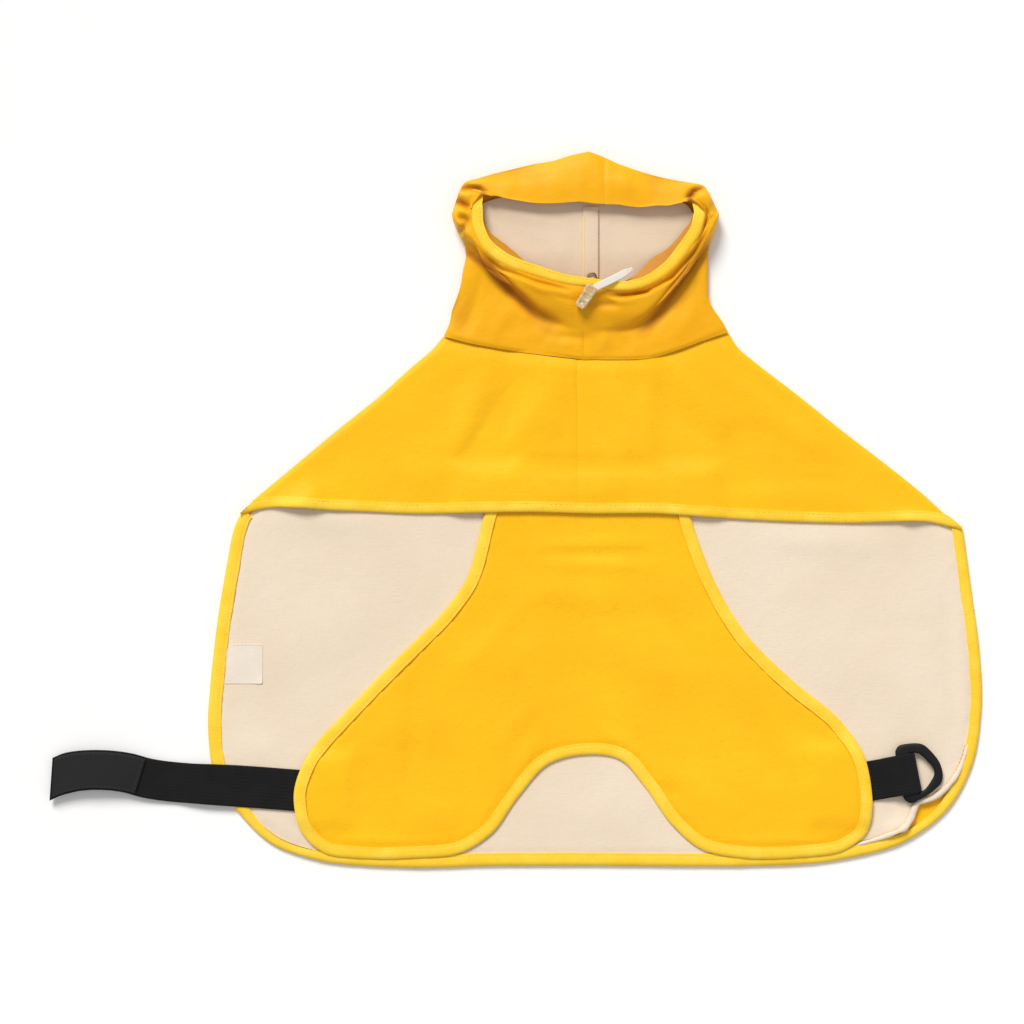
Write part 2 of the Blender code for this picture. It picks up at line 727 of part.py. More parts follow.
def hood_row(section, half, side):
    """Seven stations of one section: throat, front, cheek, side fold, ear, back, crown centre."""
    seam = CENTRE_X + side * SEAM_GAP / 2
    return [
        Vector((seam, section.throat_y, section.throat_z)),
        Vector((half.front_x, half.front_y, section.front_z)),
        Vector((half.cheek_x, half.cheek_y, section.cheek_z)),
        Vector((half.side_x, half.side_y, section.ear_z + TURN_SHARE * (section.side_z - section.ear_z))),
        Vector((half.ear_x, half.ear_y, section.ear_z)),
        Vector((half.back_x, half.back_y, section.back_z)),
        Vector((seam, section.crown_y, section.crown_z)),
    ]


def refine(points, parts, turn=None):
    """A smooth curve through the points with a set number of steps between each two.

    At the point numbered turn the curve runs straight down, where a sheet is folded round.
    """
    result = []
    for index in range(len(points) - 1):
        start = points[index]
        end = points[index + 1]
        before = points[index - 1] if index > 0 else start * 2 - end
        after = points[index + 2] if index + 2 < len(points) else end * 2 - start
        downward = Vector((0, 0, -TURN_STEEP * (end - start).length))
        first = downward if index == turn else knot_slope(before, start, end)
        second = downward if index + 1 == turn else knot_slope(start, end, after)
        result += [hermite(start, end, first, second, tick / parts) for tick in range(parts)]
    result.append(points[-1])
    return result


def rim_half(side):
    """Rim points of one half from the throat to its upper end, one for each column of the hood."""
    rim = smooth(RIM, 1.0)
    half = [point for point in rim if (point.x - CENTRE_X) * side > 0]
    if side < 0:
        half.reverse()
    return resample(half, HOOD_ACROSS * 3 + 1)


def hood_grid(halves, side):
    rows = []
    for index, (section, half) in enumerate(zip(SECTIONS, halves)):
        turn = SIDE_STATION if index < FLARED_SECTION else None
        rows.append(refine(hood_row(section, half, side), HOOD_ACROSS, turn))
    columns = [refine(list(column), HOOD_ALONG) for column in zip(*rows)]
    grid = [list(row) for row in zip(*columns)]
    for point in grid[0][HOOD_ACROSS * 3:]:
        point.y = max(point.y, NECK_BACK_Y)
    for row, outset, rise in RIM_ROWS:
        for point, edge in zip(grid[row], inset(rim_half(side), -side * outset)):
            point.xyz = edge + Vector((0, 0, rise))
    for point, before, after in zip(grid[-4], grid[-5], grid[-3]):
        point.xyz = (before + after) / 2
    for row in grid:
        for point in row:
            point.z = max(point.z, under_lift(point.x, point.y))
        for point in (row[0], row[-1]):
            point.x = CENTRE_X + side * SEAM_GAP / 2
    return grid


def grid_normal(grid, row, column):
    here = grid[row][column]
    before = grid[max(row - 1, 0)][column]
    after = grid[min(row + 1, len(grid) - 1)][column]
    left = grid[row][max(column - 1, 0)]
    right = grid[row][min(column + 1, len(grid[0]) - 1)]
    across = (right - here).normalized() + (here - left).normalized()
    return across.cross(after - before).normalized()


def build_hood_half(name, halves, side, cloth):
    outer = hood_grid(halves, side)
    inner = []
    for row, line in enumerate(outer):
        moved = []
        for column, point in enumerate(line):
            normal = grid_normal(outer, row, column) * (-side * CLOTH)
            if column in (0, len(line) - 1):
                normal.x = 0.0
            if row == 0:
                normal.y = 0.0
            if row >= len(outer) - 2:
                normal = Vector((0, 0, -CLOTH))
            moved.append(point + normal)
        inner.append(moved)
    wall(name, inner, outer, cloth)


def build_hood_lining(lining):
    outline = [Vector(point) for point in HOOD_LINING_EDGE[:2]]
    outline = even(outline, 25.0)[:-1] + smooth(HOOD_LINING_EDGE[1:] + HOOD_LINING_EDGE[:1], 13.0)[:-1]
    bottom = lambda x, y: lining_z(x, y) + HOOD_LINING_LIFT
    low_x, low_y, high_x, high_y = TAPE
    creases = [Vector((x, low_y + 8 * step)) for x in (low_x - 2, high_x + 2) for step in range(6)]
    sheet("hood_lining", outline, 16, bottom, LINING, lining, creases)
    tape_base = lambda x, y: lining_top(x, y) + HOOD_LINING_LIFT + LAY_GAP + 0.1
    corners = [(low_x, low_y), (high_x, low_y), (high_x, high_y), (low_x, high_y)]
    outline = even([Vector(corner) for corner in corners], 12.0, closed=True)
    sheet("hood_seam_tape", outline, 14, tape_base, LINING, lining)


def build_rim(cloth, tape):
    edge = rim_half(-1)[:0:-1] + rim_half(1)
    half = BINDING_WIDTH / 2
    soft = 0.9
    below = 1.7
    above = 0.7
    stations = []
    middle = inset(edge, half + SEAM_GAP)
    for index, point in enumerate(middle):
        side = sideways(middle, index)
        base = point.z - below
        thick = below + above
        profile = ((-half, thick / 2), (-half + soft, 0), (half - soft, 0),
                   (half, thick / 2), (half - soft, thick), (-half + soft, thick))
        ring = []
        for across, up in profile:
            ring.append((point.x + side.x * across, point.y + side.y * across, base + up))
        stations.append(ring)
    strip("hood_rim_binding", stations[1:-1], tape)
    build_rim_facing(edge, below, cloth)


def facing_width(along):
    for first, second in zip(FACING_WIDTHS, FACING_WIDTHS[1:]):
        if along <= second.along:
            share = (along - first.along) / (second.along - first.along)
            return first.shows + (second.shows - first.shows) * soft_step(share)
    return FACING_WIDTHS[-1].shows


def build_rim_facing(edge, below, cloth):
    """The strip inside the rim that carries the cord, dropping away from the binding."""
    stations = []
    near = 2.2
    drop = 0.34
    for index, point in enumerate(edge):
        side = sideways(edge, index)
        far = TRIM_SET_BACK + facing_width(index / (len(edge) - 1))
        top = point.z - below - LAY_GAP
        ring = []
        for across, down in ((near, CLOTH), (far, CLOTH), (far, 0.0), (near, 0.0)):
            height = top - down - (across - near) * drop
            ring.append((point.x + side.x * across, point.y + side.y * across, height))
        stations.append(ring)
    strip("hood_rim_facing", stations[1:-1], cloth)


# ---------------------------------------------------------------- hardware, belt and label

def ring_solid(name, outer, inner, low, high, material):
    """A flat ring between two equal loops of plan points."""
    stations = []
    for out_point, in_point in zip(outer, inner):
        stations.append((
            (out_point.x, out_point.y, low), (in_point.x, in_point.y, low),
            (in_point.x, in_point.y, high), (out_point.x, out_point.y, high),
        ))
    return strip(name, stations, material, closed=True)


def build_eyelet(metal):
    count = 14
    outer = []
    inner = []
    for index in range(count):
        turn = 2 * math.pi * index / count
        around = Vector((math.cos(turn), math.sin(turn)))
        outer.append(Vector(EYELET) + around * EYELET_OUTER)
        inner.append(Vector(EYELET) + around * EYELET_INNER)
    base = lining_top(*EYELET) + HOOD_LINING_LIFT + 0.4 + LINING + 0.6
    ring_solid("cord_eyelet", outer, inner, base, base + 1.2, metal)


# Route of the drawcord: out of the rim channel, over the binding, into the stopper
CORD_ROUTE = (
    (30.0, 152.6, 11.8), (26.0, 151.1, 13.8), (21.5, 149.6, 15.9), (16.5, 148.0, 17.8), (11.6, 146.3, 19.2),
    (8.4, 144.8, 19.7), (6.2, 143.1, 19.6), (4.4, 140.9, 19.3), (0.87, 136.5, 18.6), (-2.77, 132.0, 17.88),
    (-5.4, 128.7, 17.35),
)
STOPPER_ENDS = ((4.4, 140.9, 19.3), (-6.3, 127.6, 17.16))


def build_cord(elastic):
    route = smooth(CORD_ROUTE, CORD_DIAMETER * 2)
    curve = bpy.data.curves.new("drawcord", "CURVE")
    curve.dimensions = "3D"
    curve.bevel_depth = CORD_DIAMETER / 2 * MM
    curve.bevel_resolution = 2
    curve.use_fill_caps = True
    spline = curve.splines.new("POLY")
    spline.points.add(len(route) - 1)
    for spot, point in zip(spline.points, route):
        spot.co = (point.x * MM, point.y * MM, point.z * MM, 1.0)
    spline.use_smooth = True
    curve.materials.append(elastic)
    cord = bpy.data.objects.new("drawcord", curve)
    bpy.context.scene.collection.objects.link(cord)


def build_stopper(plastic):
    """A flat block on the cord's end, bored along its length."""
    start = Vector(STOPPER_ENDS[0])
    end = Vector(STOPPER_ENDS[1])
    along = (end - start).normalized()
    across = along.cross(Vector((0, 0, 1))).normalized()
    up = across.cross(along)
    count = 12
    stations = []
    for index in range(count):
        turn = 2 * math.pi * (index + 0.5) / count
        x = math.cos(turn)
        y = math.sin(turn)
        bore = across * (x * STOPPER_BORE / 2) + up * (y * STOPPER_BORE / 2)
        square = 1 / max(abs(x), abs(y)) * 0.5 + 0.5
        body = across * (x * square * STOPPER_WIDTH / 2) + up * (y * square * STOPPER_HEIGHT / 2)
        stations.append((start + bore, start + body, end + body, end + bore))
    strip("cord_stopper", stations, plastic, closed=True)


def strap_stations(rows, extra_z=0.0, slimmer=0.0):
    """Edge points of a strap that runs along X, square to its own direction."""
    stations = []
    middles = [Vector((row.x, row.y)) for row in rows]
    for index, row in enumerate(rows):
        side = sideways(middles, index) * (row.width / 2 - slimmer)
        height = row.z + extra_z
        left = Vector((row.x + side.x, row.y + side.y, height))
        right = Vector((row.x - side.x, row.y - side.y, height))
        stations.append((left, right))
    return stations


def build_long_strap(webbing, hooks):
    ribbon("long_strap", strap_stations(LONG_STRAP), WEBBING_THICK, webbing)
    patch = [row for row in LONG_STRAP[:6]]
    last = LONG_STRAP[6]
    before = patch[-1]
    share = (HOOK_PATCH_END - before.x) / (last.x - before.x)
    patch.append(Strap(*[a + (b - a) * share for a, b in zip(before, last)]))
    patch[0] = Strap(patch[0].x + 1.2, patch[0].y, patch[0].z + 0.3, patch[0].width)
    ribbon("hook_patch", strap_stations(patch, WEBBING_THICK + 0.5, 1.2), HOOK_PATCH_THICK, hooks)


def loop_place(along, across, height):
    """A point of the belt loop's own frame in the coat's frame."""
    cosine = math.cos(LOOP_TILT)
    sine = math.sin(LOOP_TILT)
    x = LOOP_CENTRE[0] + along * cosine - across * sine
    y = LOOP_CENTRE[1] + along * sine + across * cosine
    return Vector((x, y, height))


def build_short_strap(webbing):
    path = [Vector(point) for point in SHORT_STRAP]
    half = WEBBING_WIDTH / 2
    stations = []
    for index, point in enumerate(path):
        side = sideways(path, index) * (WEBBING_THICK / 2)
        ring = []
        for edge, sign in ((-half, -1), (half, -1), (half, 1), (-half, 1)):
            ring.append(loop_place(point.x + side.x * sign, edge, point.y + side.y * sign))
        stations.append(ring)
    strip("short_strap", stations, webbing)


def build_belt_loop(plastic):
    outer = smooth(LOOP_OUTER, 4.4, closed=True)
    inner = match_loop(outer, LOOP_INNER)
    outer = [loop_place(point.x, point.y, 0).xy for point in outer]
    inner = [loop_place(point.x, point.y, 0).xy for point in inner]
    ring_solid("belt_loop", outer, inner, LOOP_Z, LOOP_Z + LOOP_THICK, plastic)


def match_loop(outer, corners):
    """Points on the inner loop, one facing each outer point from the loop's middle."""
    middle = Vector((9.0, 0.0))
    knots = [Vector(corner) for corner in corners]
    matched = []
    for point in outer:
        direction = (point - middle).normalized()
        best = None
        for first, second in zip(knots, knots[1:] + knots[:1]):
            hit = ray_meets(middle, direction, first, second)
            if hit is not None:
                best = hit
        matched.append(best)
    return matched


def ray_meets(origin, direction, first, second):
    side = second - first
    bottom = direction.x * side.y - direction.y * side.x
    if abs(bottom) < 1e-9:
        return None
    away = first - origin
    reach = (away.x * side.y - away.y * side.x) / bottom
    share = (away.x * direction.y - away.y * direction.x) / bottom
    if reach > 0 and 0 <= share <= 1:
        return origin + direction * reach
    return None


def build_label(label):
    low_x, low_y, high_x, high_y = LABEL
    corners = [Vector(corner) for corner in ((low_x, low_y), (high_x, low_y), (high_x, high_y), (low_x, high_y))]
    base = lambda x, y: lining_top(x, y) + LAY_GAP
    sheet("care_label", even(corners, 12.8, closed=True), 13, base, 1.0, label)


def clear_scene():
    for thing in list(bpy.data.objects):
        bpy.data.objects.remove(thing, do_unlink=True)


def main():
    clear_scene()
    cloth = yellow_cloth()
    tape = yellow_tape()
    lining = cream_lining()
    webbing = black_webbing()
    build_leash_flap(cloth, tape)
    build_visor(clear_film(), tape)
    build_back(cloth, lining, tape)
    build_belly(cloth, tape)
    build_chest(cloth, tape)
    build_hood_half("hood_left", LEFT_HALF, -1, cloth)
    build_hood_half("hood_right", RIGHT_HALF, 1, cloth)
    build_hood_lining(lining)
    build_rim(cloth, tape)
    build_eyelet(eyelet_metal())
    build_cord(white_elastic())
    build_stopper(clear_plastic())
    build_long_strap(webbing, hook_tape())
    build_short_strap(webbing)
    build_belt_loop(black_plastic())
    build_label(white_label())


main()
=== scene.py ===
import math
from collections import namedtuple

import bmesh
import bpy
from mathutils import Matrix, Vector, noise
from mathutils.geometry import delaunay_2d_cdt
from mathutils.kdtree import KDTree


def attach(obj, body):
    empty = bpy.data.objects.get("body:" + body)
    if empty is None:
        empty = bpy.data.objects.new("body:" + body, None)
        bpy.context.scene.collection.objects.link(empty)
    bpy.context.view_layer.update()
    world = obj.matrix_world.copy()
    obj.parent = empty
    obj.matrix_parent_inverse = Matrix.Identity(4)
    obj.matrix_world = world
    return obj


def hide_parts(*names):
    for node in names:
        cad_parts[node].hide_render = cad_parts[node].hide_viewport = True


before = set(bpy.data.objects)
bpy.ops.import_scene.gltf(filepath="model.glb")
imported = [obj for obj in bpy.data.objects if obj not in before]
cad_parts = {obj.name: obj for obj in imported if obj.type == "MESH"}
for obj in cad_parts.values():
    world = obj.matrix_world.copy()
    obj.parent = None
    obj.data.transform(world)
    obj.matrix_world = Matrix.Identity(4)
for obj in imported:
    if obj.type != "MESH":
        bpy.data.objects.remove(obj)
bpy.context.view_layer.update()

mm = 0.001  # lengths below are millimetres until a mesh is made
scene = bpy.context.scene
scene.view_settings.view_transform = "Standard"


# camera, lights and floor

viewSettings = {
    "middle": (-47.5, -2.0), "height": 2400.0, "span": 642.0, "sensor": 36.0, "reach": 20.0,
    "floorSize": 6.0, "floorZ": -0.0004, "floorColour": (0.96, 0.96, 0.965, 1),
    "worldColour": (1.0, 0.995, 0.985, 1), "worldStrength": 0.42,
}
Light = namedtuple("Light", "name kind place spread power colour")
lights = (
    Light("key", "SUN", (-1.3, 3.3, 3.1), 0.42, 2.85, (1.0, 0.985, 0.96)),
    Light("fill", "AREA", (0.9, -0.5, 1.7), 1.8, 3.5, (0.98, 0.99, 1.0)),
)


def addObject(name, data, place=(0, 0, 0)):
    made = bpy.data.objects.new(name, data)
    made.location = place
    scene.collection.objects.link(made)
    return made


def makeCamera():
    data = bpy.data.cameras.new("topCamera")
    data.sensor_width = viewSettings["sensor"]
    data.lens = viewSettings["sensor"] * viewSettings["height"] / viewSettings["span"]
    data.clip_end = viewSettings["reach"]
    x, y = viewSettings["middle"]
    scene.camera = addObject("topCamera", data, (x * mm, y * mm, viewSettings["height"] * mm))


makeCamera()


def makeLights():
    for light in lights:
        data = bpy.data.lights.new(light.name, light.kind)
        if light.kind == "SUN":
            data.angle = light.spread
        else:
            data.shape = "DISK"
            data.size = light.spread
        data.energy = light.power
        data.color = light.colour
        lamp = addObject(light.name, data, light.place)
        lamp.rotation_euler = (-Vector(light.place)).to_track_quat("-Z", "Y").to_euler()
    scene.world = bpy.data.worlds.new("studio")
    scene.world.use_nodes = True
    background = scene.world.node_tree.nodes["Background"]
    background.inputs["Color"].default_value = viewSettings["worldColour"]
    background.inputs["Strength"].default_value = viewSettings["worldStrength"]


def makeFloor():
    half = viewSettings["floorSize"] / 2
    data = bmesh.new()
    corners = ((-half, -half), (half, -half), (half, half), (-half, half))
    data.faces.new([data.verts.new((x, y, viewSettings["floorZ"])) for x, y in corners])
    mesh = bpy.data.meshes.new("floor")
    data.to_mesh(mesh)
    data.free()
    paint = Shade("floorPaint", {"Roughness": 0.9, "Base Color": viewSettings["floorColour"]})
    mesh.materials.append(paint.material)
    addObject("floor", mesh)


# shader maths: a wire is one socket of a material, and sums on wires add Math nodes

class Wire:
    def __init__(self, shade, socket):
        self.shade = shade
        self.socket = socket

    def __add__(self, other):
        return self.shade.maths("ADD", self, other)

    def __radd__(self, other):
        return self.shade.maths("ADD", other, self)

    def __sub__(self, other):
        return self.shade.maths("SUBTRACT", self, other)

    def __rsub__(self, other):
        return self.shade.maths("SUBTRACT", other, self)

    def __mul__(self, other):
        return self.shade.maths("MULTIPLY", self, other)

    def __rmul__(self, other):
        return self.shade.maths("MULTIPLY", other, self)


class Shade:
    def __init__(self, name, fixed):
        self.material = bpy.data.materials.new(name)
        self.material.use_nodes = True
        self.tree = self.material.node_tree
        self.shader = self.tree.nodes["Principled BSDF"]
        for socket, value in fixed.items():
            self.shader.inputs[socket].default_value = value

    def node(self, kind, settings, inputs, output=0):
        made = self.tree.nodes.new(kind)
        for key, value in settings.items():
            setattr(made, key, value)
        for key, value in inputs.items():
            if isinstance(value, Wire):
                self.tree.links.new(value.socket, made.inputs[key])
            else:
                made.inputs[key].default_value = value
        return Wire(self, made.outputs[output])

    def maths(self, operation, first, second=0.0):
        return self.node("ShaderNodeMath", {"operation": operation}, {0: first, 1: second})

    def wave(self, run, pitch):
        return self.maths("SINE", run * (2 * math.pi / pitch))

    def clamp(self, value):
        return self.node("ShaderNodeClamp", {}, {"Value": value})

    def along(self):  # metres along a tape or strap, and across it
        spot = self.node("ShaderNodeUVMap", {"uv_map": "cloth"}, {})
        return [self.node("ShaderNodeSeparateXYZ", {}, {0: spot}, axis) for axis in (0, 1)]

    def noise(self, scale, detail=3.0, stretch=(1, 1, 1), rough=0.55):
        spot = self.node("ShaderNodeTexCoord", {}, {}, "Object")
        spot = self.node("ShaderNodeVectorMath", {"operation": "MULTIPLY"}, {0: spot, 1: stretch})
        inputs = {"Vector": spot, "Scale": scale, "Detail": detail, "Roughness": rough}
        return self.node("ShaderNodeTexNoise", {}, inputs)

    def mix(self, factor, first, second):
        return self.node("ShaderNodeMix", {"data_type": "RGBA"}, {"Factor": factor, 6: first, 7: second}, 2)

    def blend(self, value, low, gain, first, second):  # from first to second as the value climbs above low
        return self.mix(self.clamp((value - low) * gain), first, second)

    def bump(self, height, distance, strength, below=None):
        inputs = {"Height": height, "Distance": distance, "Strength": strength}
        if below:
            inputs["Normal"] = below
        return self.node("ShaderNodeBump", {}, inputs)

    def feed(self, colour, roughness, normal):
        for socket, wire in (("Base Color", colour), ("Roughness", roughness), ("Normal", normal)):
            self.tree.links.new(wire.socket, self.shader.inputs[socket])
        return self.material


def rgb(*levels):
    return tuple(level / 255 / 12.92 if level <= 10 else ((level / 255 + 0.055) / 1.055) ** 2.4
                 for level in levels) + (1.0,)


# finishes: each function takes a finish's name, and what differs where several share the function

# the coat cloth's fold colour is painted shade that deep hood folds are darkened towards
coatSettings = {
    "fleck": rgb(238, 164, 4), "fold": rgb(158, 88, 2), "cloud": 16.0, "weave": 1400.0, "thin": 0.22,
    "weaveDepth": 0.0001, "crumple": (55.0, 3.0, (1.0, 1.3, 1.0), 0.62), "crumpleBump": (0.0009, 0.55),
    "fixed": {"Sheen Weight": 0.05, "Sheen Roughness": 0.5, "Specular IOR Level": 0.22},
}
liningSettings = {
    "light": rgb(237, 220, 199), "deep": rgb(231, 213, 189), "thread": rgb(229, 208, 180),
    "shade": rgb(229, 206, 180), "cloud": 12.0, "weave": 1300.0, "thin": 0.16, "weaveDepth": 0.00012,
    "crumple": (70.0, 3.0, (1.0, 1.0, 1.0), 0.6), "crumpleBump": (0.0008, 0.5),
    "fixed": {"Sheen Weight": 0.2, "Specular IOR Level": 0.2},
}
tapeFinish = {
    "light": rgb(255, 216, 66), "deep": rgb(253, 204, 40), "edge": rgb(248, 190, 26), "rib": 0.0009,
    "fixed": {"Sheen Weight": 0.15, "Specular IOR Level": 0.3},
}
webbingSettings = {
    "light": rgb(30, 29, 30), "deep": rgb(15, 14, 15), "dust": rgb(52, 50, 49), "rib": 0.0021, "pick": 0.0011,
    "fixed": {"Sheen Weight": 0.06, "Specular IOR Level": 0.15},
}
hookSettings = {"row": 0.0015, "column": 0.0012, "deep": rgb(12, 12, 14), "light": rgb(40, 39, 42)}
braidPitch = 0.0011


def weave(look, settings):
    warp = look.noise(settings["weave"], 1.0, (1.0, settings["thin"], 0.5))
    weft = look.noise(settings["weave"], 1.0, (settings["thin"], 1.0, 0.5))
    soft = look.bump(look.noise(*settings["crumple"]), *settings["crumpleBump"])
    return warp, weft, look.bump(warp + weft, settings["weaveDepth"], 0.8, soft)


def coatCloth(name, light, deep, shift=0.0):
    look = Shade(name, coatSettings["fixed"])
    cloud = look.noise(coatSettings["cloud"] + shift, 4.0)
    small = look.noise(210.0, 2.0)
    tone = look.blend(cloud, 0.36, 3.2, deep, light)
    tone = look.blend(small, 0.60, 1.6, tone, coatSettings["fleck"])
    # painted shade: the fold attribute darkens the tone towards the fold colour in deep folds
    fold = look.node("ShaderNodeAttribute", {"attribute_name": "fold"}, {}, 2)
    tone = look.mix(look.clamp(fold), tone, coatSettings["fold"])
    return look.feed(tone, 0.44 + small * 0.16, weave(look, coatSettings)[2])


def liningCloth(name, shaded):
    look = Shade(name, liningSettings["fixed"])
    cloud = look.noise(liningSettings["cloud"], 4.0)
    warp, weft, grain = weave(look, liningSettings)
    tone = look.blend(cloud, 0.35, 2.6, liningSettings["deep"], liningSettings["light"])
    # painted shade: a shaded lining is mixed towards the shade colour
    tone = look.mix(shaded, tone, liningSettings["shade"])
    tone = look.blend(warp * weft, 0.27, 2.2, tone, liningSettings["thread"])
    return look.feed(tone, 0.8 + cloud * 0.12, grain)


def bindTape(name):
    look = Shade(name, tapeFinish["fixed"])
    rib = look.wave(look.along()[0], tapeFinish["rib"])
    cloud = look.noise(60.0)
    small = look.noise(700.0, 2.0)
    tone = look.blend(cloud, 0.38, 3.0, tapeFinish["deep"], tapeFinish["light"])
    tone = look.blend(small, 0.55, 2.2, tone, tapeFinish["edge"])
    grain = look.bump(rib * 0.5 + small, 0.00012, 0.6, look.bump(cloud, 0.0012, 0.4))
    return look.feed(tone, 0.52 + small * 0.2, grain)


def ribbedWebbing(name):
    look = Shade(name, webbingSettings["fixed"])
    run, across = look.along()
    rib = look.wave(across, webbingSettings["rib"])
    pick = look.wave(run + rib * 0.0003, webbingSettings["pick"])
    fibre = look.noise(1500.0, 2.0)
    cloud = look.noise(90.0, 4.0)
    tone = look.mix(look.clamp(rib * 0.10 + cloud), webbingSettings["deep"], webbingSettings["light"])
    tone = look.blend(fibre, 0.63, 2.0, tone, webbingSettings["dust"])
    return look.feed(tone, 0.7 + fibre * 0.2, look.bump(rib * 0.4 + pick * 0.4 + fibre, 0.00016, 0.6))


def hookTape(name):
    look = Shade(name, {"Specular IOR Level": 0.4})
    run, across = look.along()
    rows = look.wave(run, hookSettings["row"])
    hooks = look.clamp(rows * look.wave(across, hookSettings["column"]) * 0.5 + 0.5)
    fluff = look.noise(900.0)
    tone = look.mix(hooks * fluff, hookSettings["deep"], hookSettings["light"])
    return look.feed(tone, 0.6 + fluff * 0.2, look.bump(hooks + fluff * 0.4, 0.0005, 0.8))


def mouldedPlastic(name):
    look = Shade(name, {"Specular IOR Level": 0.28})
    cloud = look.noise(120.0, 4.0)
    scuff = look.noise(900.0, 3.0, (1.0, 0.2, 1.0))
    tone = look.blend(scuff, 0.6, 2.0, rgb(12, 12, 13), rgb(34, 34, 36))
    return look.feed(tone, 0.42 + cloud * 0.2, look.bump(cloud + scuff * 0.3, 0.00012, 0.5))


def clearFilm(name):
    look = Shade(name, {"Transmission Weight": 0.85, "IOR": 1.35, "Specular IOR Level": 0.6})
    cloud = look.noise(30.0)
    tone = look.mix(cloud, rgb(250, 248, 244), rgb(240, 240, 238))
    return look.feed(tone, 0.05 + cloud * 0.1, look.bump(cloud, 0.0016, 0.4))


def clearPlastic(name):
    look = Shade(name, {"Transmission Weight": 0.35, "IOR": 1.4, "Subsurface Weight": 0.15})
    cloud = look.noise(160.0)
    tone = look.blend(cloud, 0.35, 2.6, rgb(230, 194, 132), rgb(252, 238, 206))
    return look.feed(tone, 0.2 + cloud * 0.15, look.bump(cloud, 0.0005, 0.5))


def braidedElastic(name):
    look = Shade(name, {"Sheen Weight": 0.2})
    run, across = look.along()
    braid = look.clamp(look.wave(run + across, braidPitch) * look.wave(run - across, braidPitch) * 0.5 + 0.5)
    tone = look.mix(braid, rgb(226, 216, 200), rgb(253, 249, 243))
    return look.feed(tone, 0.7 + braid * 0.1, look.bump(braid, 0.00025, 0.7))


def labelCloth(name):
    look = Shade(name, {"Sheen Weight": 0.1})
    tone = look.blend(look.noise(80.0), 0.3, 1.8, rgb(232, 218, 201), rgb(241, 229, 214))
    threads = look.noise(1500.0, 1.0, (0.15, 1.0, 1.0))
    return look.feed(tone, 0.5 + threads * 0.2, look.bump(threads, 0.00015, 0.6))


def eyeletMetal(name):
    look = Shade(name, {"Metallic": 1.0})
    cloud = look.noise(500.0, 4.0)
    tone = look.blend(cloud, 0.4, 2.5, rgb(120, 96, 66), rgb(196, 176, 146))
    return look.feed(tone, 0.28 + cloud * 0.3, look.bump(cloud, 0.0001, 0.5))


def threadFinish(name, deep, light):
    look = Shade(name, {"Sheen Weight": 0.2})
    twist = look.noise(2600.0, 1.0)
    return look.feed(look.mix(twist, deep, light), 0.55 + twist * 0.15, look.bump(twist, 0.0001, 0.6))


Finish = namedtuple("Finish", "slot material")
finishes = {name: Finish(slot, maker(name, *values)) for name, slot, maker, *values in (
    ("yellowCloth", "yellow_cloth", coatCloth, rgb(254, 194, 12), rgb(250, 186, 5)),
    # painted shade: the hood's copy of the coat cloth is darker, as shade on the hood
    ("hoodYellowCloth", "yellow_cloth", coatCloth, rgb(246, 179, 8), rgb(242, 171, 4), 0.35),
    # painted shade: the facing's copy of the coat cloth is darker, as shade inside the rim
    ("facingCloth", "yellow_cloth", coatCloth, rgb(206, 140, 32), rgb(196, 130, 26), 0.4),
    ("yellowTape", "yellow_tape", bindTape),
    ("creamLining", "cream_lining", liningCloth, 0.0),
    # painted shade: the hood's lining and seam tape take the lining's shade colour in full
    ("hoodLining", "cream_lining", liningCloth, 1.0),
    ("blackWebbing", "black_webbing", ribbedWebbing),
    ("hookTape", "hook_tape", hookTape),
    ("blackPlastic", "black_plastic", mouldedPlastic),
    ("clearFilm", "clear_film", clearFilm),
    ("clearPlastic", "clear_plastic", clearPlastic),
    ("whiteElastic", "white_elastic", braidedElastic),
    ("whiteLabel", "white_label", labelCloth),
    ("eyeletMetal", "eyelet_metal", eyeletMetal),
    ("yellowThread", "yellow_tape", threadFinish, rgb(251, 200, 50), rgb(255, 216, 78)),
    # partly painted shadow: these brown stitches are the seam and also stand for the shadow of the seam tape's
    # edge
    ("brownThread", "cream_lining", threadFinish, rgb(158, 116, 86), rgb(190, 148, 116)),
    ("paleEdging", "yellow_cloth", threadFinish, rgb(244, 210, 120), rgb(251, 226, 152)),
    ("creamThread", "white_label", threadFinish, rgb(206, 180, 146), rgb(238, 218, 190)),
    ("blackThread", "hook_tape", threadFinish, rgb(18, 18, 20), rgb(44, 44, 48)),
)}


# curves and outlines

knotSteps = 20  # points that a smooth line has between two knots


def slopeAt(before, here, after):
    first = (here - before).length
    second = (after - here).length
    slope = ((here - before) / first * second + (after - here) / second * first) / (first + second)
    return slope * min(first, second)


def hermite(start, end, startSlope, endSlope, t):
    square = t * t
    cube = square * t
    return (start * (2 * cube - 3 * square + 1) + startSlope * (cube - 2 * square + t)
            + end * (3 * square - 2 * cube) + endSlope * (cube - square))


def runsAlong(points, closed=False):
    runs = [0.0]
    for first, second in zip(points, points[1:] + (points[:1] if closed else [])):
        runs.append(runs[-1] + (Vector(second) - Vector(first)).length)
    return runs


def evenly(points, spacing, closed=False, count=None):
    line = points + points[:1] if closed else points
    runs = runsAlong(line)
    steps = count or max(2, round(runs[-1] / spacing))
    result = []
    segment = 0
    for index in range(steps if closed else steps + 1):
        target = runs[-1] * index / steps
        while segment < len(line) - 2 and runs[segment + 1] < target:
            segment += 1
        part = runs[segment + 1] - runs[segment]
        result.append(line[segment].lerp(line[segment + 1], (target - runs[segment]) / part if part else 0))
    return result


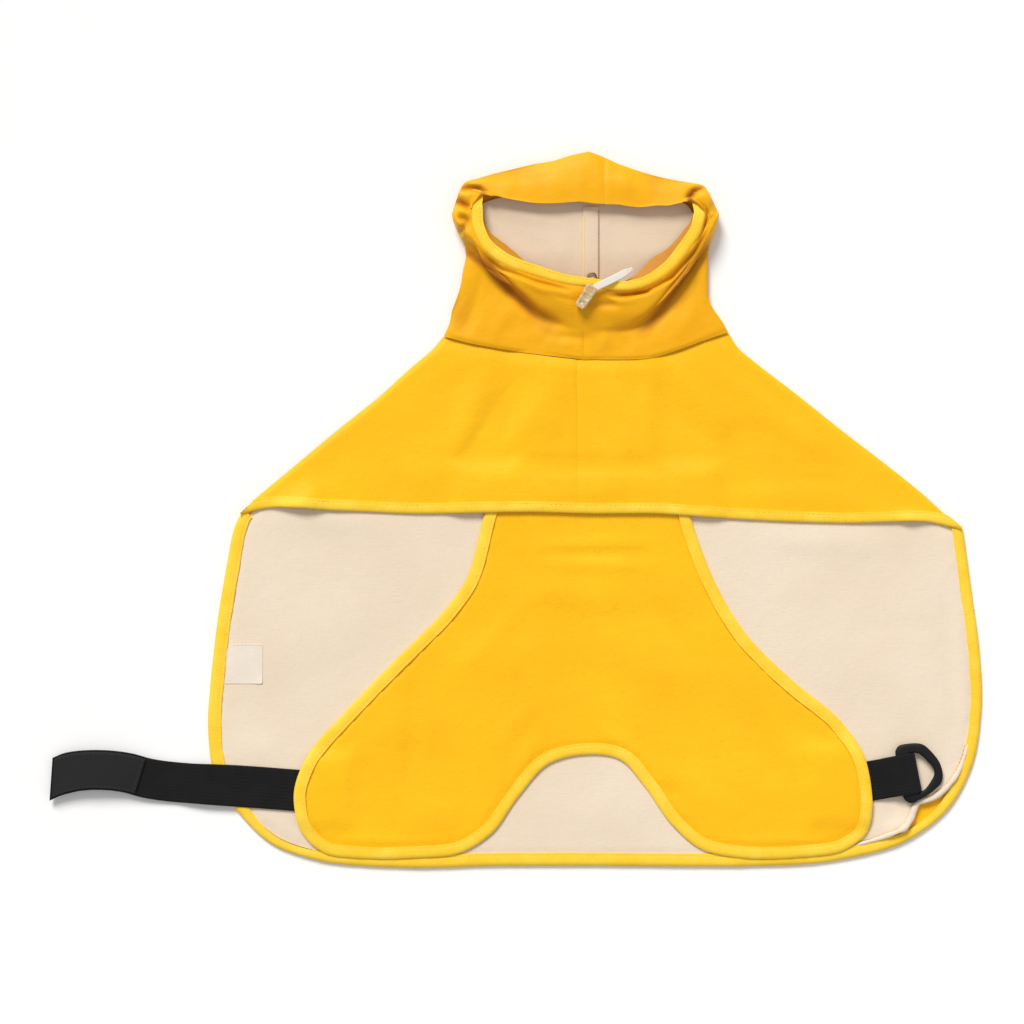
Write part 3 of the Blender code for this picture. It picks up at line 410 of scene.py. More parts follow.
def smoothLine(points, spacing, closed=False, count=None):
    knots = [Vector(point) for point in points]
    dense = []
    for index in range(len(knots) if closed else len(knots) - 1):
        start = knots[index]
        end = knots[(index + 1) % len(knots)]
        before = knots[index - 1] if closed or index > 0 else start * 2 - end
        after = knots[(index + 2) % len(knots)] if closed or index + 2 < len(knots) else end * 2 - start
        slopes = slopeAt(before, start, end), slopeAt(start, end, after)
        dense += [hermite(start, end, *slopes, tick / knotSteps) for tick in range(knotSteps)]
    return evenly(dense if closed else dense + knots[-1:], spacing, closed, count)


def sideOf(path, index):
    along = path[min(index + 1, len(path) - 1)] - path[max(index - 1, 0)]
    return Vector((-along.y, along.x)).normalized()


def beside(point, side, reach, z):
    return Vector((point.x + side.x * reach, point.y + side.y * reach, z))


def inset(path, distance):
    moved = []
    for index, point in enumerate(path):
        side = sideOf(path, index) * distance
        moved.append(point + (side.to_3d() if len(point) == 3 else side))
    return moved


def softStep(value):
    value = min(1.0, max(0.0, value))
    return value * value * (3 - 2 * value)


def hump(away, width, power=2):
    return math.exp(-(away / width) ** power)


Ripple = namedtuple("Ripple", "size seed height")


def rippleHeight(x, y, *ripples):  # the slow unevenness of soft cloth
    return sum(noise.noise(Vector((x / row.size, y / row.size, row.seed))) * row.height for row in ripples)


def boxFade(x, y, lowX, lowY, highX, highY, fade):
    outside = max(lowX - x, x - highX, lowY - y, y - highY)
    return softStep(1 - outside / fade)


def boxOutline(lowX, lowY, highX, highY, spacing):
    corners = [Vector(corner) for corner in ((lowX, lowY), (highX, lowY), (highX, highY), (lowX, highY))]
    return evenly(corners, spacing, True)


def tableAt(table, place, ease=float):
    for (first, start), (second, end) in zip(table, table[1:]):
        if first <= place <= second:
            return start + (end - start) * ease((place - first) / (second - first))
    return 0.0


def roundProfile(width, height, corners, power=1.0):  # a power under 1 makes the corners squarer
    profile = []
    for corner in range(corners):
        turn = 2 * math.pi * corner / corners
        cosine, sine = (math.copysign(abs(value) ** power, value) for value in (math.cos(turn), math.sin(turn)))
        profile.append((cosine * width, sine * height))
    return profile


def axesOf(along):
    across = along.cross(Vector((0, 0, 1))).normalized()
    return across, across.cross(along)


def rowsOf(kind, *rows):
    return [kind(*row) for row in rows]


# soft troughs and ridges: a crease is straight, a furrow bends through its points

Crease = namedtuple("Crease", "x0 y0 x1 y1 width height")
Furrow = namedtuple("Furrow", "points width height")


def besideSegment(x, y, startX, startY, endX, endY):
    alongX = endX - startX
    alongY = endY - startY
    share = ((x - startX) * alongX + (y - startY) * alongY) / (alongX * alongX + alongY * alongY)
    share = min(1.0, max(0.0, share))
    return math.hypot(x - startX - alongX * share, y - startY - alongY * share), share


def creaseHeight(x, y, creases):
    total = 0.0
    for crease in creases:
        away, share = besideSegment(x, y, *crease[:4])
        if away < crease.width * 3:
            total += crease.height * (1 - 0.75 * (2 * share - 1) ** 2) * hump(away, crease.width)
    return total


def furrowHeight(x, y, furrows):
    total = 0.0
    for furrow in furrows:
        last = len(furrow.points) - 1
        found = []
        for index, (start, end) in enumerate(zip(furrow.points, furrow.points[1:])):
            away, share = besideSegment(x, y, *start, *end)
            found.append((away, (index + share) / last))
        nearest, where = min(found)
        if nearest < furrow.width * 3:
            total += furrow.height * (1 - abs(2 * where - 1) ** 3) * hump(nearest, furrow.width)
    return total


# meshes: points come in millimetres, and each made piece rides on the coat

def finishPiece(name, data, finish, node=None, sharpAngle=45):
    bmesh.ops.recalc_face_normals(data, faces=data.faces)
    bmesh.ops.scale(data, vec=(mm, mm, mm), verts=data.verts)
    mesh = bpy.data.meshes.new(name)
    data.to_mesh(mesh)
    data.free()
    mesh.shade_smooth()
    mesh.set_sharp_from_angle(angle=math.radians(sharpAngle))
    mesh.materials.append(finishes[finish].material)
    piece = addObject(name, mesh)
    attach(piece, "root")
    if node:
        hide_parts(node)
    return piece


def sweep(name, rings, finish, node=None, line=None, profile=None, closed=False, sharpAngle=45):
    runs = runsAlong(line or [ring[0] for ring in rings], closed)
    arounds = runsAlong(profile or rings[0], True)
    data = bmesh.new()
    uv = data.loops.layers.uv.new("cloth")
    verts = [[data.verts.new(point) for point in ring] for ring in rings]
    size = len(rings[0])
    for index in range(len(rings) if closed else len(rings) - 1):
        here = verts[index]
        there = verts[(index + 1) % len(rings)]
        for corner in range(size):
            following = (corner + 1) % size
            face = data.faces.new((here[corner], here[following], there[following], there[corner]))
            for loop, (ahead, aside) in zip(face.loops, ((0, 0), (0, 1), (1, 1), (1, 0))):
                loop[uv].uv = (runs[index + ahead] * mm, arounds[corner + aside] * mm)
    if not closed:
        data.faces.new(verts[0])
        data.faces.new(verts[-1][::-1])
    return finishPiece(name, data, finish, node, sharpAngle)


def closeShell(name, uppers, lowers, faces, finish, node, sharpAngle=45):
    data = bmesh.new()
    high = [data.verts.new(point) for point in uppers]
    low = [data.verts.new(point) for point in lowers]
    for face in faces:
        data.faces.new([high[index] for index in face])
        data.faces.new([low[index] for index in reversed(face)])
    below = dict(zip(high, low))
    for edge in [edge for edge in data.edges if len(edge.link_faces) == 1]:
        first, second = edge.verts
        if first in below and second in below:
            data.faces.new((first, second, below[second], below[first]))
    return finishPiece(name, data, finish, node, sharpAngle)


def rowSpans(outline, y):
    crossings = []
    for first, second in zip(outline, outline[1:] + outline[:1]):
        if (first.y > y) != (second.y > y):
            crossings.append(first.x + (y - first.y) / (second.y - first.y) * (second.x - first.x))
    crossings.sort()
    return zip(crossings[::2], crossings[1::2])


def fillPoints(outline, cell):
    fine = evenly(outline, cell * 0.4, True)
    edge = KDTree(len(fine))
    for index, point in enumerate(fine):
        edge.insert((point.x, point.y, 0), index)
    edge.balance()
    found = []
    y = min(point.y for point in outline) + cell * 0.4
    highY = max(point.y for point in outline)
    lowX = min(point.x for point in outline)
    shift = 0.0
    while y < highY:
        for low, high in rowSpans(outline, y):
            x = lowX + math.ceil((low - lowX - shift) / cell) * cell + shift
            while x < high:
                if edge.find((x, y, 0))[2] > cell * 0.5:
                    found.append(Vector((x, y)))
                x += cell
        y += cell * 0.87
        shift = cell * 0.5 - shift
    return found


def layPanel(name, outline, cell, top, thick, finish, node=None, press=0.0):
    flat = [point.to_2d() for point in outline]
    edges = [(index, (index + 1) % len(flat)) for index in range(len(flat))]
    spots = flat + fillPoints(flat, cell)
    spots, _, faces = delaunay_2d_cdt(spots, edges, [list(range(len(flat)))], 1, 1e-5)[:3]
    uppers = []
    for index, spot in enumerate(spots):
        uppers.append(Vector((spot.x, spot.y, top(spot.x, spot.y) - (press if index < len(flat) else 0.0))))
    lowers = [Vector((upper.x, upper.y, upper.z - thick)) for upper in uppers]
    return closeShell(name, uppers, lowers, faces, finish, node)


def gridNormal(grid, row, column):
    here = grid[row][column]
    before = grid[max(row - 1, 0)][column]
    after = grid[min(row + 1, len(grid) - 1)][column]
    left = grid[row][max(column - 1, 0)]
    right = grid[row][min(column + 1, len(grid[0]) - 1)]
    across = (right - here).normalized() + (here - left).normalized()
    return across.cross(after - before).normalized()


def layGrid(name, grid, thick, inward, finish, node):
    size = len(grid[0])
    uppers = [point for line in grid for point in line]
    lowers = []
    for index, point in enumerate(uppers):
        lowers.append(point + gridNormal(grid, *divmod(index, size)) * inward * thick)
    starts = [row * size + column for row in range(len(grid) - 1) for column in range(size - 1)]
    faces = [(start, start + 1, start + size + 1, start + size) for start in starts]
    return closeShell(name, uppers, lowers, faces, finish, node, 75)


# sewing and binding tape

sewing = {"pitch": 3.1, "length": 2.2, "radius": 0.2, "sides": 6, "sink": 0.35, "arch": 0.6}
stitchShape = ((0.0, 0.35), (0.18, 0.95), (0.5, 1.0), (0.82, 0.95), (1.0, 0.35))  # along a stitch: its fullness
tapeShape = {
    "spacing": 3.0, "steps": 14, "groove": 1.5, "grooveDepth": 0.22, "grooveWidth": 0.5, "foot": 0.15,
    "wobble": Ripple(14.0, 3.0, 0.042), "pucker": Ripple(7.0, 9.0, 0.10),
}


def sewLine(name, lines, finish, pitch=None, radius=None):
    pitch = pitch or sewing["pitch"]
    radius = radius or sewing["radius"]
    length = sewing["length"] * pitch / sewing["pitch"]
    data = bmesh.new()
    for line in lines:
        dots = evenly(line, pitch)
        for first, second in zip(dots, dots[1:]):
            along = (second - first).normalized()
            across, up = axesOf(along)
            rings = []
            for share, swell in stitchShape:
                rise = radius * (sewing["arch"] * math.sin(math.pi * share) - sewing["sink"])
                middle = first + along * (length * share) + up * rise
                profile = roundProfile(radius * swell, radius * swell, sewing["sides"])
                rings.append([data.verts.new(middle + across * x + up * y) for x, y in profile])
            for here, there in zip(rings, rings[1:]):
                for side in range(sewing["sides"]):
                    data.faces.new((here[side - 1], here[side], there[side], there[side - 1]))
            data.faces.new(rings[0])
            data.faces.new(rings[-1][::-1])
    return finishPiece(name, data, finish)


def seamPoints(line, reach, height):
    moved = []
    for index, point in enumerate(line):
        spot = beside(point, sideOf(line, index), reach(point.x), 0)
        spot.z = height(spot.x, spot.y, index)
        moved.append(spot)
    return moved


def tapeRings(line, width, thick, base, swell):
    profile = []
    for step in range(tapeShape["steps"] + 1):
        share = step / tapeShape["steps"]
        crown = 1 - 0.5 * (1 - share) ** 7 - 0.08 * share ** 9
        dip = hump(width * (share - 1) + tapeShape["groove"], tapeShape["grooveWidth"])
        profile.append((width * share, thick * crown - tapeShape["grooveDepth"] * dip))
    profile += [(width - tapeShape["foot"], 0.0), (width * 0.5, 0.0), (tapeShape["foot"], 0.0)]
    rings = []
    for index, point in enumerate(line):
        side = sideOf(line, index)
        wave = 1 + rippleHeight(point.x, point.y, tapeShape["wobble"])
        pucker = 1 + rippleHeight(point.x, point.y, tapeShape["pucker"])
        ring = []
        for across, up in profile:
            spot = beside(point, side, across * wave * swell(point.x), 0)
            spot.z = base(spot.x, spot.y, index) + up * (pucker if up > thick * 0.4 else 1)
            ring.append(spot)
        rings.append(ring)
    return rings, profile


def bindEdge(name, node, edge, shape, base, swell=lambda x: 1.0, reach=None, ends=(), kept=list):
    rings, profile = tapeRings(edge, shape["width"], shape["thick"], base, swell)
    for place, (stepX, stepY) in zip((0, -1), ends):  # where a tape runs out at a slant
        for point in rings[place]:
            away = (point.xy - edge[place].xy).length
            point.xy = edge[place].x + stepX * away, edge[place].y + stepY * away
    tape = sweep(name + "Tape", rings, "yellowTape", node, edge, profile, sharpAngle=60)
    reach = reach or (lambda x: (shape["width"] - shape["stitchIn"]) * swell(x))
    line = seamPoints(edge, reach, lambda x, y, index: base(x, y, index) + shape["thick"] - shape["sink"])
    sewLine(name + "Stitches", [kept(line)], "yellowThread", shape.get("pitch"), shape.get("radius"))
    return tape


# edges of the cut pieces

backEdge = (
    (-214.6, -0.6), (-217.4, -3.2), (-219.8, -7.6), (-222.4, -15), (-226.4, -36), (-232, -70),
    (-236.5, -110), (-238, -136), (-234, -166), (-219, -190), (-198, -210), (-166, -221), (-110, -225),
    (-60, -223.8), (0, -223.6), (100, -224), (152, -221), (198, -209), (226, -188), (241, -160),
    (246.6, -125), (245.4, -90), (240.4, -52), (236.6, -24), (235.2, -14), (234.2, -10.5),
)
leftFold = (
    (-215, 0), (-204, 10), (-180, 30), (-156, 50), (-131, 70), (-110, 89), (-97, 100), (-90.5, 107),
)
rightFold = (
    (229, -8), (209, 10), (184, 30), (158, 50), (133, 70), (107, 90), (94, 101), (88, 109.5),
)
chestCorners = (Vector((-210.0, 5.0)), Vector((224.6, -4.2)))
chestHem = (
    (-220, -4), (-198, 1), (-158, -1), (-108, -3), (-38, -2), (2, -3), (42, -3), (102, -7), (162, -9),
    (212, -8), (234, -13),
)
bellyEdge = (
    (-61, 12), (-66, -8), (-76, -44), (-92, -66), (-121, -95), (-152, -127), (-176, -155), (-184, -178),
    (-179, -203), (-165, -215.5), (-136, -219), (-108, -218.5), (-80, -215.5), (-60, -203), (-44, -181),
    (-25, -160), (-2.5, -154), (20, -157), (36, -174.5), (52, -197), (71, -213), (96, -218.5),
    (128, -218.5), (160, -214), (174.5, -203), (178, -187), (173, -155), (157, -131.5), (128, -107.5),
    (99.5, -79), (80, -47), (67, -14), (60, 12),
)
looseLining = (
    (168, -211), (185, -206), (199, -199.5), (203, -193), (206.5, -185), (217, -181), (226, -173.5),
    (232, -165.5), (236, -156), (238.4, -147.5),
)
neckBackY = 106.3
tapeWidth = 7.4
hemInset = tapeWidth - 1.8  # a panel runs in 1.8 mm under its tape

clothThick = 0.6
liningThick = 0.5
liningFace = 2.5
panelBase = 2.9
solidCloth = 1.2
underLiftHeight = 2.2
strapLiftHeight = 1.7
liningRipple = Ripple(34.0, 1.0, 0.3)

liningCreases = rowsOf(
    Crease, (186, -205, 203, -196, 4.5, 3), (208, -184, 232, -165, 4, 2.6),
    (-213, -207, -220, -200, 5, 1.2), (196, -199, 206, -186, 3.5, 1), (224, -46, 232, -150, 6, -0.87),
    (231, -60, 238, -140, 3.5, 0.72), (-219, -20, -229, -80, 5, -0.72), (-200, -4, -120, -10, 8, 0.72),
    (-95, -10, -72, -60, 9, -0.58), (96, -18, 190, -22, 8, 0.72), (-140, -60, -210, -96, 20, 0.72),
    (120, -70, 214, -120, 24, 0.72), (60, -180, -30, -196, 16, 0.72), (-190, -150, -225, -150, 9, 0.58),
    (-215, -196, -190, -212, 3, -0.72),
)
backCreases = rowsOf(  # on the side that lies down
    Crease, (-60, 92, -150, 24, 9, 0.6), (66, 94, 148, 34, 8, 0.55), (-190, -30, -120, -60, 9, 0.5),
    (150, -70, 214, -40, 8, 0.55), (-40, 40, -70, -40, 10, 0.5), (30, 30, 84, -60, 9, 0.45),
    (-160, -190, -70, -160, 9, 0.5), (60, -190, 150, -150, 10, 0.5), (-10, -90, 30, -170, 11, 0.45),
    (-214, -120, -150, -130, 7, 0.45),
)
chestCreases = rowsOf(
    Crease, (-24, 76, -66, 14, 7, 0.9), (-42, 78, -82, 18, 6, -1.1), (84, 50, 154, 16, 7, -1.1),
    (96, 66, 166, 32, 8, 0.8), (-150, 40, -110, 8, 8, -0.8), (30, 80, 60, 26, 7, -0.8),
    (-205, 4, -165, 4, 20, 5.4), (195, -2, 222, -4, 20, 5.4), (-62, 90, -84, 30, 9, 2),
    (-20, 84, -34, 20, 12, 1.4), (52, 90, 92, 40, 11, 1.7), (14, 84, 26, 26, 10, 1.2),
    (-78, 86, -118, 44, 5, -0.9), (-40, 86, -52, 58, 4, -0.8), (30, 80, 44, 50, 5, -0.7),
    (76, 92, 132, 52, 5, 0.8), (-150, 30, -60, 12, 11, 0.9), (-30, 10, 60, 14, 9, 0.8),
    (80, 8, 170, 10, 10, 0.8), (-100, 20, -10, 40, 16, -0.8), (30, 40, 120, 22, 15, -0.8),
)
bellyCreases = rowsOf(
    Crease, (-108, -104, -112, -176, 5, -0.9), (-40, -60, -90, -112, 7, 0.7),
    (96, -120, 118, -170, 7, -0.8), (30, -40, 62, -96, 7, -0.7), (-60, -150, -30, -120, 5, 0.6),
    (-42, -24, 40, -21, 4, 0.8), (-36, -33, 44, -36, 4.5, 0.8), (-30, -28, 36, -28, 3, -0.8),
    (-54, -50, 30, -58, 9, 0.7), (-20, -70, 70, -66, 11, -0.6), (-90, -100, -20, -84, 12, 0.8),
    (20, -96, 96, -112, 12, 0.8), (-150, -150, -90, -130, 12, 0.8), (-120, -196, -60, -186, 9, 0.7),
    (48, -172, 58, -182, 3, -1.2), (60, -166, 96, -196, 9, 0.8), (110, -150, 160, -160, 9, 0.6),
    (-30, -140, -46, -168, 5, 0.8), (10, -138, 34, -160, 5, 0.8), (-160, -206, -100, -211, 4, 0.8),
    (90, -210, 150, -207, 4, 0.8),
)


def underLift(x, y):  # over the leash flap and the visor
    return underLiftHeight * max(boxFade(x, y, -35, 37, 35, 107, 16), boxFade(x, y, -71, 163, 71, 240, 22))


def strapLift(x, y):  # over the hidden ends of the belt
    left = boxFade(x, y, -240, -193, -154, -160, 13)
    return strapLiftHeight * max(left, boxFade(x, y, 145, -191, 240, -154, 13))


def liningTop(x, y):
    return underLift(x, y) + liningFace + creaseHeight(x, y, liningCreases) + rippleHeight(x, y, liningRipple)


def bodyOutline(foldInset, hem):
    top = neckBackY - 0.3
    right, left = (inset(smoothLine(fold, 5.0), foldInset) for fold in (rightFold, leftFold[::-1]))
    neck = [Vector((x, top)) for x in range(80, -81, -5) if abs(x) < 84 - foldInset]
    return (hem + [point for point in right if point.y < top - 3] + [Vector((86.5 - foldInset, top))] + neck
            + [Vector((-88.5 + foldInset, top))] + [point for point in left if point.y < top - 3])


# drawcord and its stopper

cordSettings = {
    "route": ((27.4, 149.7, 11.8), (23.6, 147.5, 13.8), (19.3, 145.0, 15.6), (15.0, 142.8, 17.1),
              (10.8, 140.7, 18.2), (7.6, 139.2, 18.8), (5.2, 138.0, 18.9), (3.4, 136.6, 18.7),
              (0.9, 133.3, 18.2), (-2.4, 128.9, 17.4), (-4.6, 125.9, 16.9)),
    "width": 4.6, "thick": 1.1, "spacing": 1.0, "bevel": 0.4, "startWidth": 0.55, "startSteps": 7,
}
stopperSettings = {
    "start": (2.9, 138.6, 18.6), "end": (-5.7, 125.4, 16.7), "width": 8.0, "height": 4.6, "steps": 34,
    "corners": 32, "square": 0.45, "round": 0.28, "taper": 0.16, "ridges": (0.36, 0.62), "ridgeRise": 0.4,
    "ridgeLong": 0.04, "slotAt": 0.80, "slotLong": 0.07, "slotDeep": 1.3, "trough": 0.7, "troughWide": 1.9,
}


def makeDrawcord():
    line = smoothLine(cordSettings["route"], cordSettings["spacing"])
    half = cordSettings["width"] / 2
    flat = half - cordSettings["bevel"]
    thick = cordSettings["thick"] / 2
    profile = [(-half, 0.0), (-flat, -thick), (0.0, -thick * 1.15), (flat, -thick),
               (half, 0.0), (flat, thick), (0.0, thick * 1.15), (-flat, thick)]
    rings = []
    for index, point in enumerate(line):
        across, up = axesOf((line[min(index + 1, len(line) - 1)] - line[max(index - 1, 0)]).normalized())
        narrow = cordSettings["startWidth"]
        narrow += (1 - narrow) * softStep(index / cordSettings["startSteps"])
        rings.append([point + across * (x * narrow) + up * y for x, y in profile])
    cord = sweep("drawcordElastic", rings, "whiteElastic", "drawcord", line, profile)
    length = round(runsAlong(line)[-1] * mm, 4)
    tuple(line[0] * mm)
    [tuple(point * mm) for point in line]
    makeStopper()


def makeStopper():
    own = stopperSettings
    start = Vector(own["start"])
    length = (Vector(own["end"]) - start).length
    along = (Vector(own["end"]) - start).normalized()
    across, up = axesOf(along)
    rings = []
    for index in range(own["steps"] + 1):
        share = index / own["steps"]
        shrink = 1 - own["round"] * abs(2 * share - 1) ** 14
        ridge = own["ridgeRise"] * sum(hump(share - place, own["ridgeLong"]) for place in own["ridges"])
        deep = own["trough"] * (1 if 0.1 < share < 0.95 else 0.3)
        deep += own["slotDeep"] * hump(share - own["slotAt"], own["slotLong"], 4)
        width = own["width"] / 2 * shrink * (1 - own["taper"] * share)
        ring = []
        for x, y in roundProfile(width, own["height"] / 2 * shrink, own["corners"], own["square"]):
            y += (ridge - deep * hump(x, own["troughWide"], 4)) if y > 0 else 0
            ring.append(start + along * (share * length) + across * x + up * y)
        rings.append(ring)
    return sweep("stopperBody", rings, "clearPlastic", "cord_stopper", sharpAngle=35)


# back, lining and their bound edge

backSettings = {
    "cell": 5.0, "foldInset": 1.4, "lift": 0.25, "ripple": Ripple(40.0, 2.0, 0.2), "tapeLift": 0.05,
    "tape": {"width": tapeWidth, "thick": 3.1, "stitchIn": 1.5, "sink": 0.27},
    "liningCell": 4.2, "liningInset": 4.8, "press": 0.9, "looseFrom": (160, -150), "looseTo": (160, -146),
    "rollWide": 1.8, "rollHigh": 1.0, "rollLift": 0.6, "rollIn": 0.5, "rollRipple": Ripple(5.0, 4.0, 0.4),
    "corners": 10,
    "stitchIn": 2.2, "pitch": 2.6, "radius": 0.17,
}


def backTop(x, y):
    lift = backSettings["lift"] + max(0.0, rippleHeight(x, y, backSettings["ripple"]))
    return underLift(x, y) + clothThick + lift + creaseHeight(x, y, backCreases)


def backSwell(x):  # the tape is wider at the left, and narrow where the hem rounds its lower corners
    return 1.12 - 0.16 * softStep((x - 120) / 90) - 0.2 * hump(x - 208, 22) - 0.4 * hump(x + 190, 29, 4)


def makeBack():
    own = backSettings
    edge = smoothLine(backEdge, tapeShape["spacing"])
    hem = inset(edge, hemInset)
    layPanel("backCloth", bodyOutline(own["foldInset"], hem), own["cell"], backTop, clothThick, "yellowCloth",
             "back_outer")
    (fromX, fromY), (toX, toY) = own["looseFrom"], own["looseTo"]
    before = [point for point in hem if point.x < fromX and point.y < fromY or point.x < 0]
    after = [point for point in hem if point.x > toX and point.y > toY]
    outline = bodyOutline(own["liningInset"], before + smoothLine(looseLining, 3.0) + after)
    layPanel("backLining", outline, own["liningCell"], liningTop, liningThick, "creamLining", "back_lining",
             own["press"])
    bindEdge("back", "back_binding", edge, own["tape"], lambda x, y, index: own["tapeLift"], backSwell,
             lambda x: tapeWidth * backSwell(x) - own["tape"]["stitchIn"])
    makeLiningRoll()
    fold = seamPoints(smoothLine(looseLining, 2.0), lambda x: own["stitchIn"],
                      lambda x, y, index: liningTop(x, y) + 0.05)
    sewLine("liningStitches", [fold], "yellowThread", own["pitch"], own["radius"])


def makeLiningRoll():
    own = backSettings
    line = smoothLine(looseLining, 1.4)
    line = [Vector((point.x, point.y, liningTop(point.x, point.y))) for point in line]
    line = inset(line, own["rollIn"])
    rings = []
    for index, point in enumerate(line):
        side = sideOf(line, index)
        swell = math.sin(math.pi * index / (len(line) - 1)) ** 0.4 + 0.05
        swell *= 1 + rippleHeight(point.x, point.y, own["rollRipple"])
        profile = roundProfile(own["rollWide"] * swell, own["rollHigh"] * swell, own["corners"])
        rings.append([beside(point, side, x, point.z + own["rollLift"] + y) for x, y in profile])
    sweep("liningRoll", rings, "creamLining")


# belly panel

bellySettings = {
    "cell": 3.6, "press": 1.1, "tapeLift": 0.2, "ripples": (Ripple(30.0, 5.0, 0.35), Ripple(90.0, 7.0, 0.4)),
    "tape": {"width": tapeWidth, "thick": 1.95, "stitchIn": 1.5, "sink": 0.23},
}


def bellyBase(x, y):
    return underLift(x, y) + panelBase + strapLift(x, y)


def bellyTop(x, y):
    swell = rippleHeight(x, y, *bellySettings["ripples"])
    return bellyBase(x, y) + solidCloth + creaseHeight(x, y, bellyCreases) + swell


def makeBelly():
    edge = smoothLine(bellyEdge, tapeShape["spacing"])
    outline = inset(edge, hemInset) + [Vector((x, edge[0].y)) for x in range(48, -49, -4)]
    layPanel("bellyCloth", outline, bellySettings["cell"], bellyTop, clothThick, "yellowCloth", "belly_panel",
             bellySettings["press"])
    bindEdge("belly", "belly_binding", edge, bellySettings["tape"],
             lambda x, y, index: bellyBase(x, y) + bellySettings["tapeLift"])


# chest: two halves sewn at the middle, with a bound lower edge

chestSettings = {
    "rows": 46, "inner": 44, "seam": 0.467, "seamGap": 0.02, "slant": 0.64, "foldRound": 4.2, "foldLow": 0.15,
    "overBelly": 2.5, "flatFrom": 8, "ripples": (Ripple(26.0, 4.0, 0.35), Ripple(80.0, 6.0, 0.6)),
    "seamDip": (0.4, 1.3), "neckDip": (1.1, 3.2), "tall": 100,
    "rolled": (0.0, 0.5, 1.1, 1.9, 3.0, 4.2, 6.0, 8.0, 10.5, 13.5, 17.0, 20.5),
    "neck": ((-90.5, 108.0), (-76, 104.0), (-46, 98.5), (-2.5, 93.2), (40, 94.5), (72, 105.0), (88.0, 110.5)),
    "tape": {"width": tapeWidth, "thick": 2.05, "stitchIn": 1.5, "sink": 0.15},
    "tapeLift": 0.1, "tapeSwell": 0.9, "tapeEnds": ((0.12, 0.1), (-0.12, 0.1)), "sewnFrom": -203, "sewnTo": 213,
    "tapeLow": (-217.4, -14.5), "leftCut": (-219.5, -4, 0.86), "rightCut": (219.2, 1.2, -0.845),
}


def foldDistance(x, y):
    sides = [(start, end) for fold in (leftFold, rightFold) for start, end in zip(fold, fold[1:])]
    return min(besideSegment(x, y, *start, *end)[0] for start, end in sides)


def chestBase(x, y, fromFold):
    share = min(1.0, fromFold / chestSettings["foldRound"])
    low = chestSettings["foldLow"]
    rolled = low + (panelBase - low) * math.sqrt(1 - (1 - share) ** 2)
    raised = creaseHeight(x, y, chestCreases) + softStep((y - 60) / 40)  # and 1 mm higher near the neck
    raised *= softStep((fromFold - chestSettings["foldRound"]) / 22)
    cover = chestSettings["overBelly"] * boxFade(x, y, -76, -26, 74, 18, 16)
    return underLift(x, y) + rolled + cover + max(raised, 0)


def chestTapeBase(x, y, index):
    return chestBase(x, y, max(chestSettings["foldRound"], foldDistance(x, y))) + chestSettings["tapeLift"]


def pickAt(path, share):
    place = share * (len(path) - 1)
    index = min(len(path) - 2, int(place))
    return path[index].lerp(path[index + 1], place - index)


def chestShares(width, sign):  # places along a row, from the fold to the middle seam
    own = chestSettings
    reach = (own["seam"] if sign > 0 else 1 - own["seam"]) - own["seamGap"] / width
    shares = [distance / own["slant"] / width for distance in own["rolled"]]
    shares = [share for share in shares if share < reach * 0.8]
    first = shares[-1]
    inner = own["inner"] + len(own["rolled"]) - len(shares)
    return shares + [first + (reach - first) * (step + 1) / inner for step in range(inner)], reach


def makeChestHalf(name, node, side, sign, hem, neck, left, right):
    own = chestSettings
    grid = []
    for row in range(len(left)):
        up = row / (len(left) - 1)
        width = (right[row] - left[row]).length
        shares, reach = chestShares(width, sign)
        line = []
        for share in shares:
            across = side + sign * share
            spot = left[row] * (1 - across) + right[row] * across
            spot += pickAt(hem, across) * (1 - up) + pickAt(neck, across) * up
            spot -= (hem[0] * (1 - across) + hem[-1] * across) * (1 - up)
            spot -= (neck[0] * (1 - across) + neck[-1] * across) * up
            x, y = spot
            fromFold = 0.0 if share == 0.0 else foldDistance(x, y)
            height = chestBase(x, y, fromFold) + solidCloth
            height += rippleHeight(x, y, *own["ripples"]) * min(1.0, fromFold / own["flatFrom"])
            for (deep, wide), away in ((own["seamDip"], (reach - share) * width),
                                       (own["neckDip"], (1 - up) * own["tall"])):
                height -= deep * hump(away, wide)
            line.append(Vector((x, y, height)))
        grid.append(line)
    layGrid(name, grid, clothThick, -sign, "yellowCloth", node)


def makeChest():
    own = chestSettings
    low, high = chestCorners
    hem = inset(smoothLine(chestHem, 3.0), hemInset)
    hem = evenly([low] + [point for point in hem if low.x + 2 < point.x < high.x - 2] + [high], 3.0)
    neck = smoothLine(own["neck"], 2.0)
    left, right = (smoothLine([hem[end], *fold[1:-1], neck[end]], 2.0, count=own["rows"] - 1)
                   for end, fold in ((0, leftFold), (-1, rightFold)))
    makeChestHalf("chestLeftCloth", "chest_left", 0.0, 1, hem, neck, left, right)
    makeChestHalf("chestRightCloth", "chest_right", 1.0, -1, hem, neck, left, right)
    edge = smoothLine(chestHem, tapeShape["spacing"])
    tape = bindEdge("chest", "chest_binding", edge, own["tape"], chestTapeBase, lambda x: own["tapeSwell"],
                    None, own["tapeEnds"],
                    lambda line: [point for point in line if own["sewnFrom"] < point.x < own["sewnTo"]])
    lowX, lowY = own["tapeLow"]
    for vert in tape.data.vertices:  # the fold of the coat cuts the tape to a point at both ends
        x, y = vert.co.x / mm, vert.co.y / mm
        cuts = [height + slope * (x - place) for place, height, slope in (own["leftCut"], own["rightCut"])]
        vert.co.xy = max(x, lowX) * mm, max(min(y, *cuts), lowY) * mm


# hood: one row for each section from the neck seam over the throat fold and the crown fold to the rim

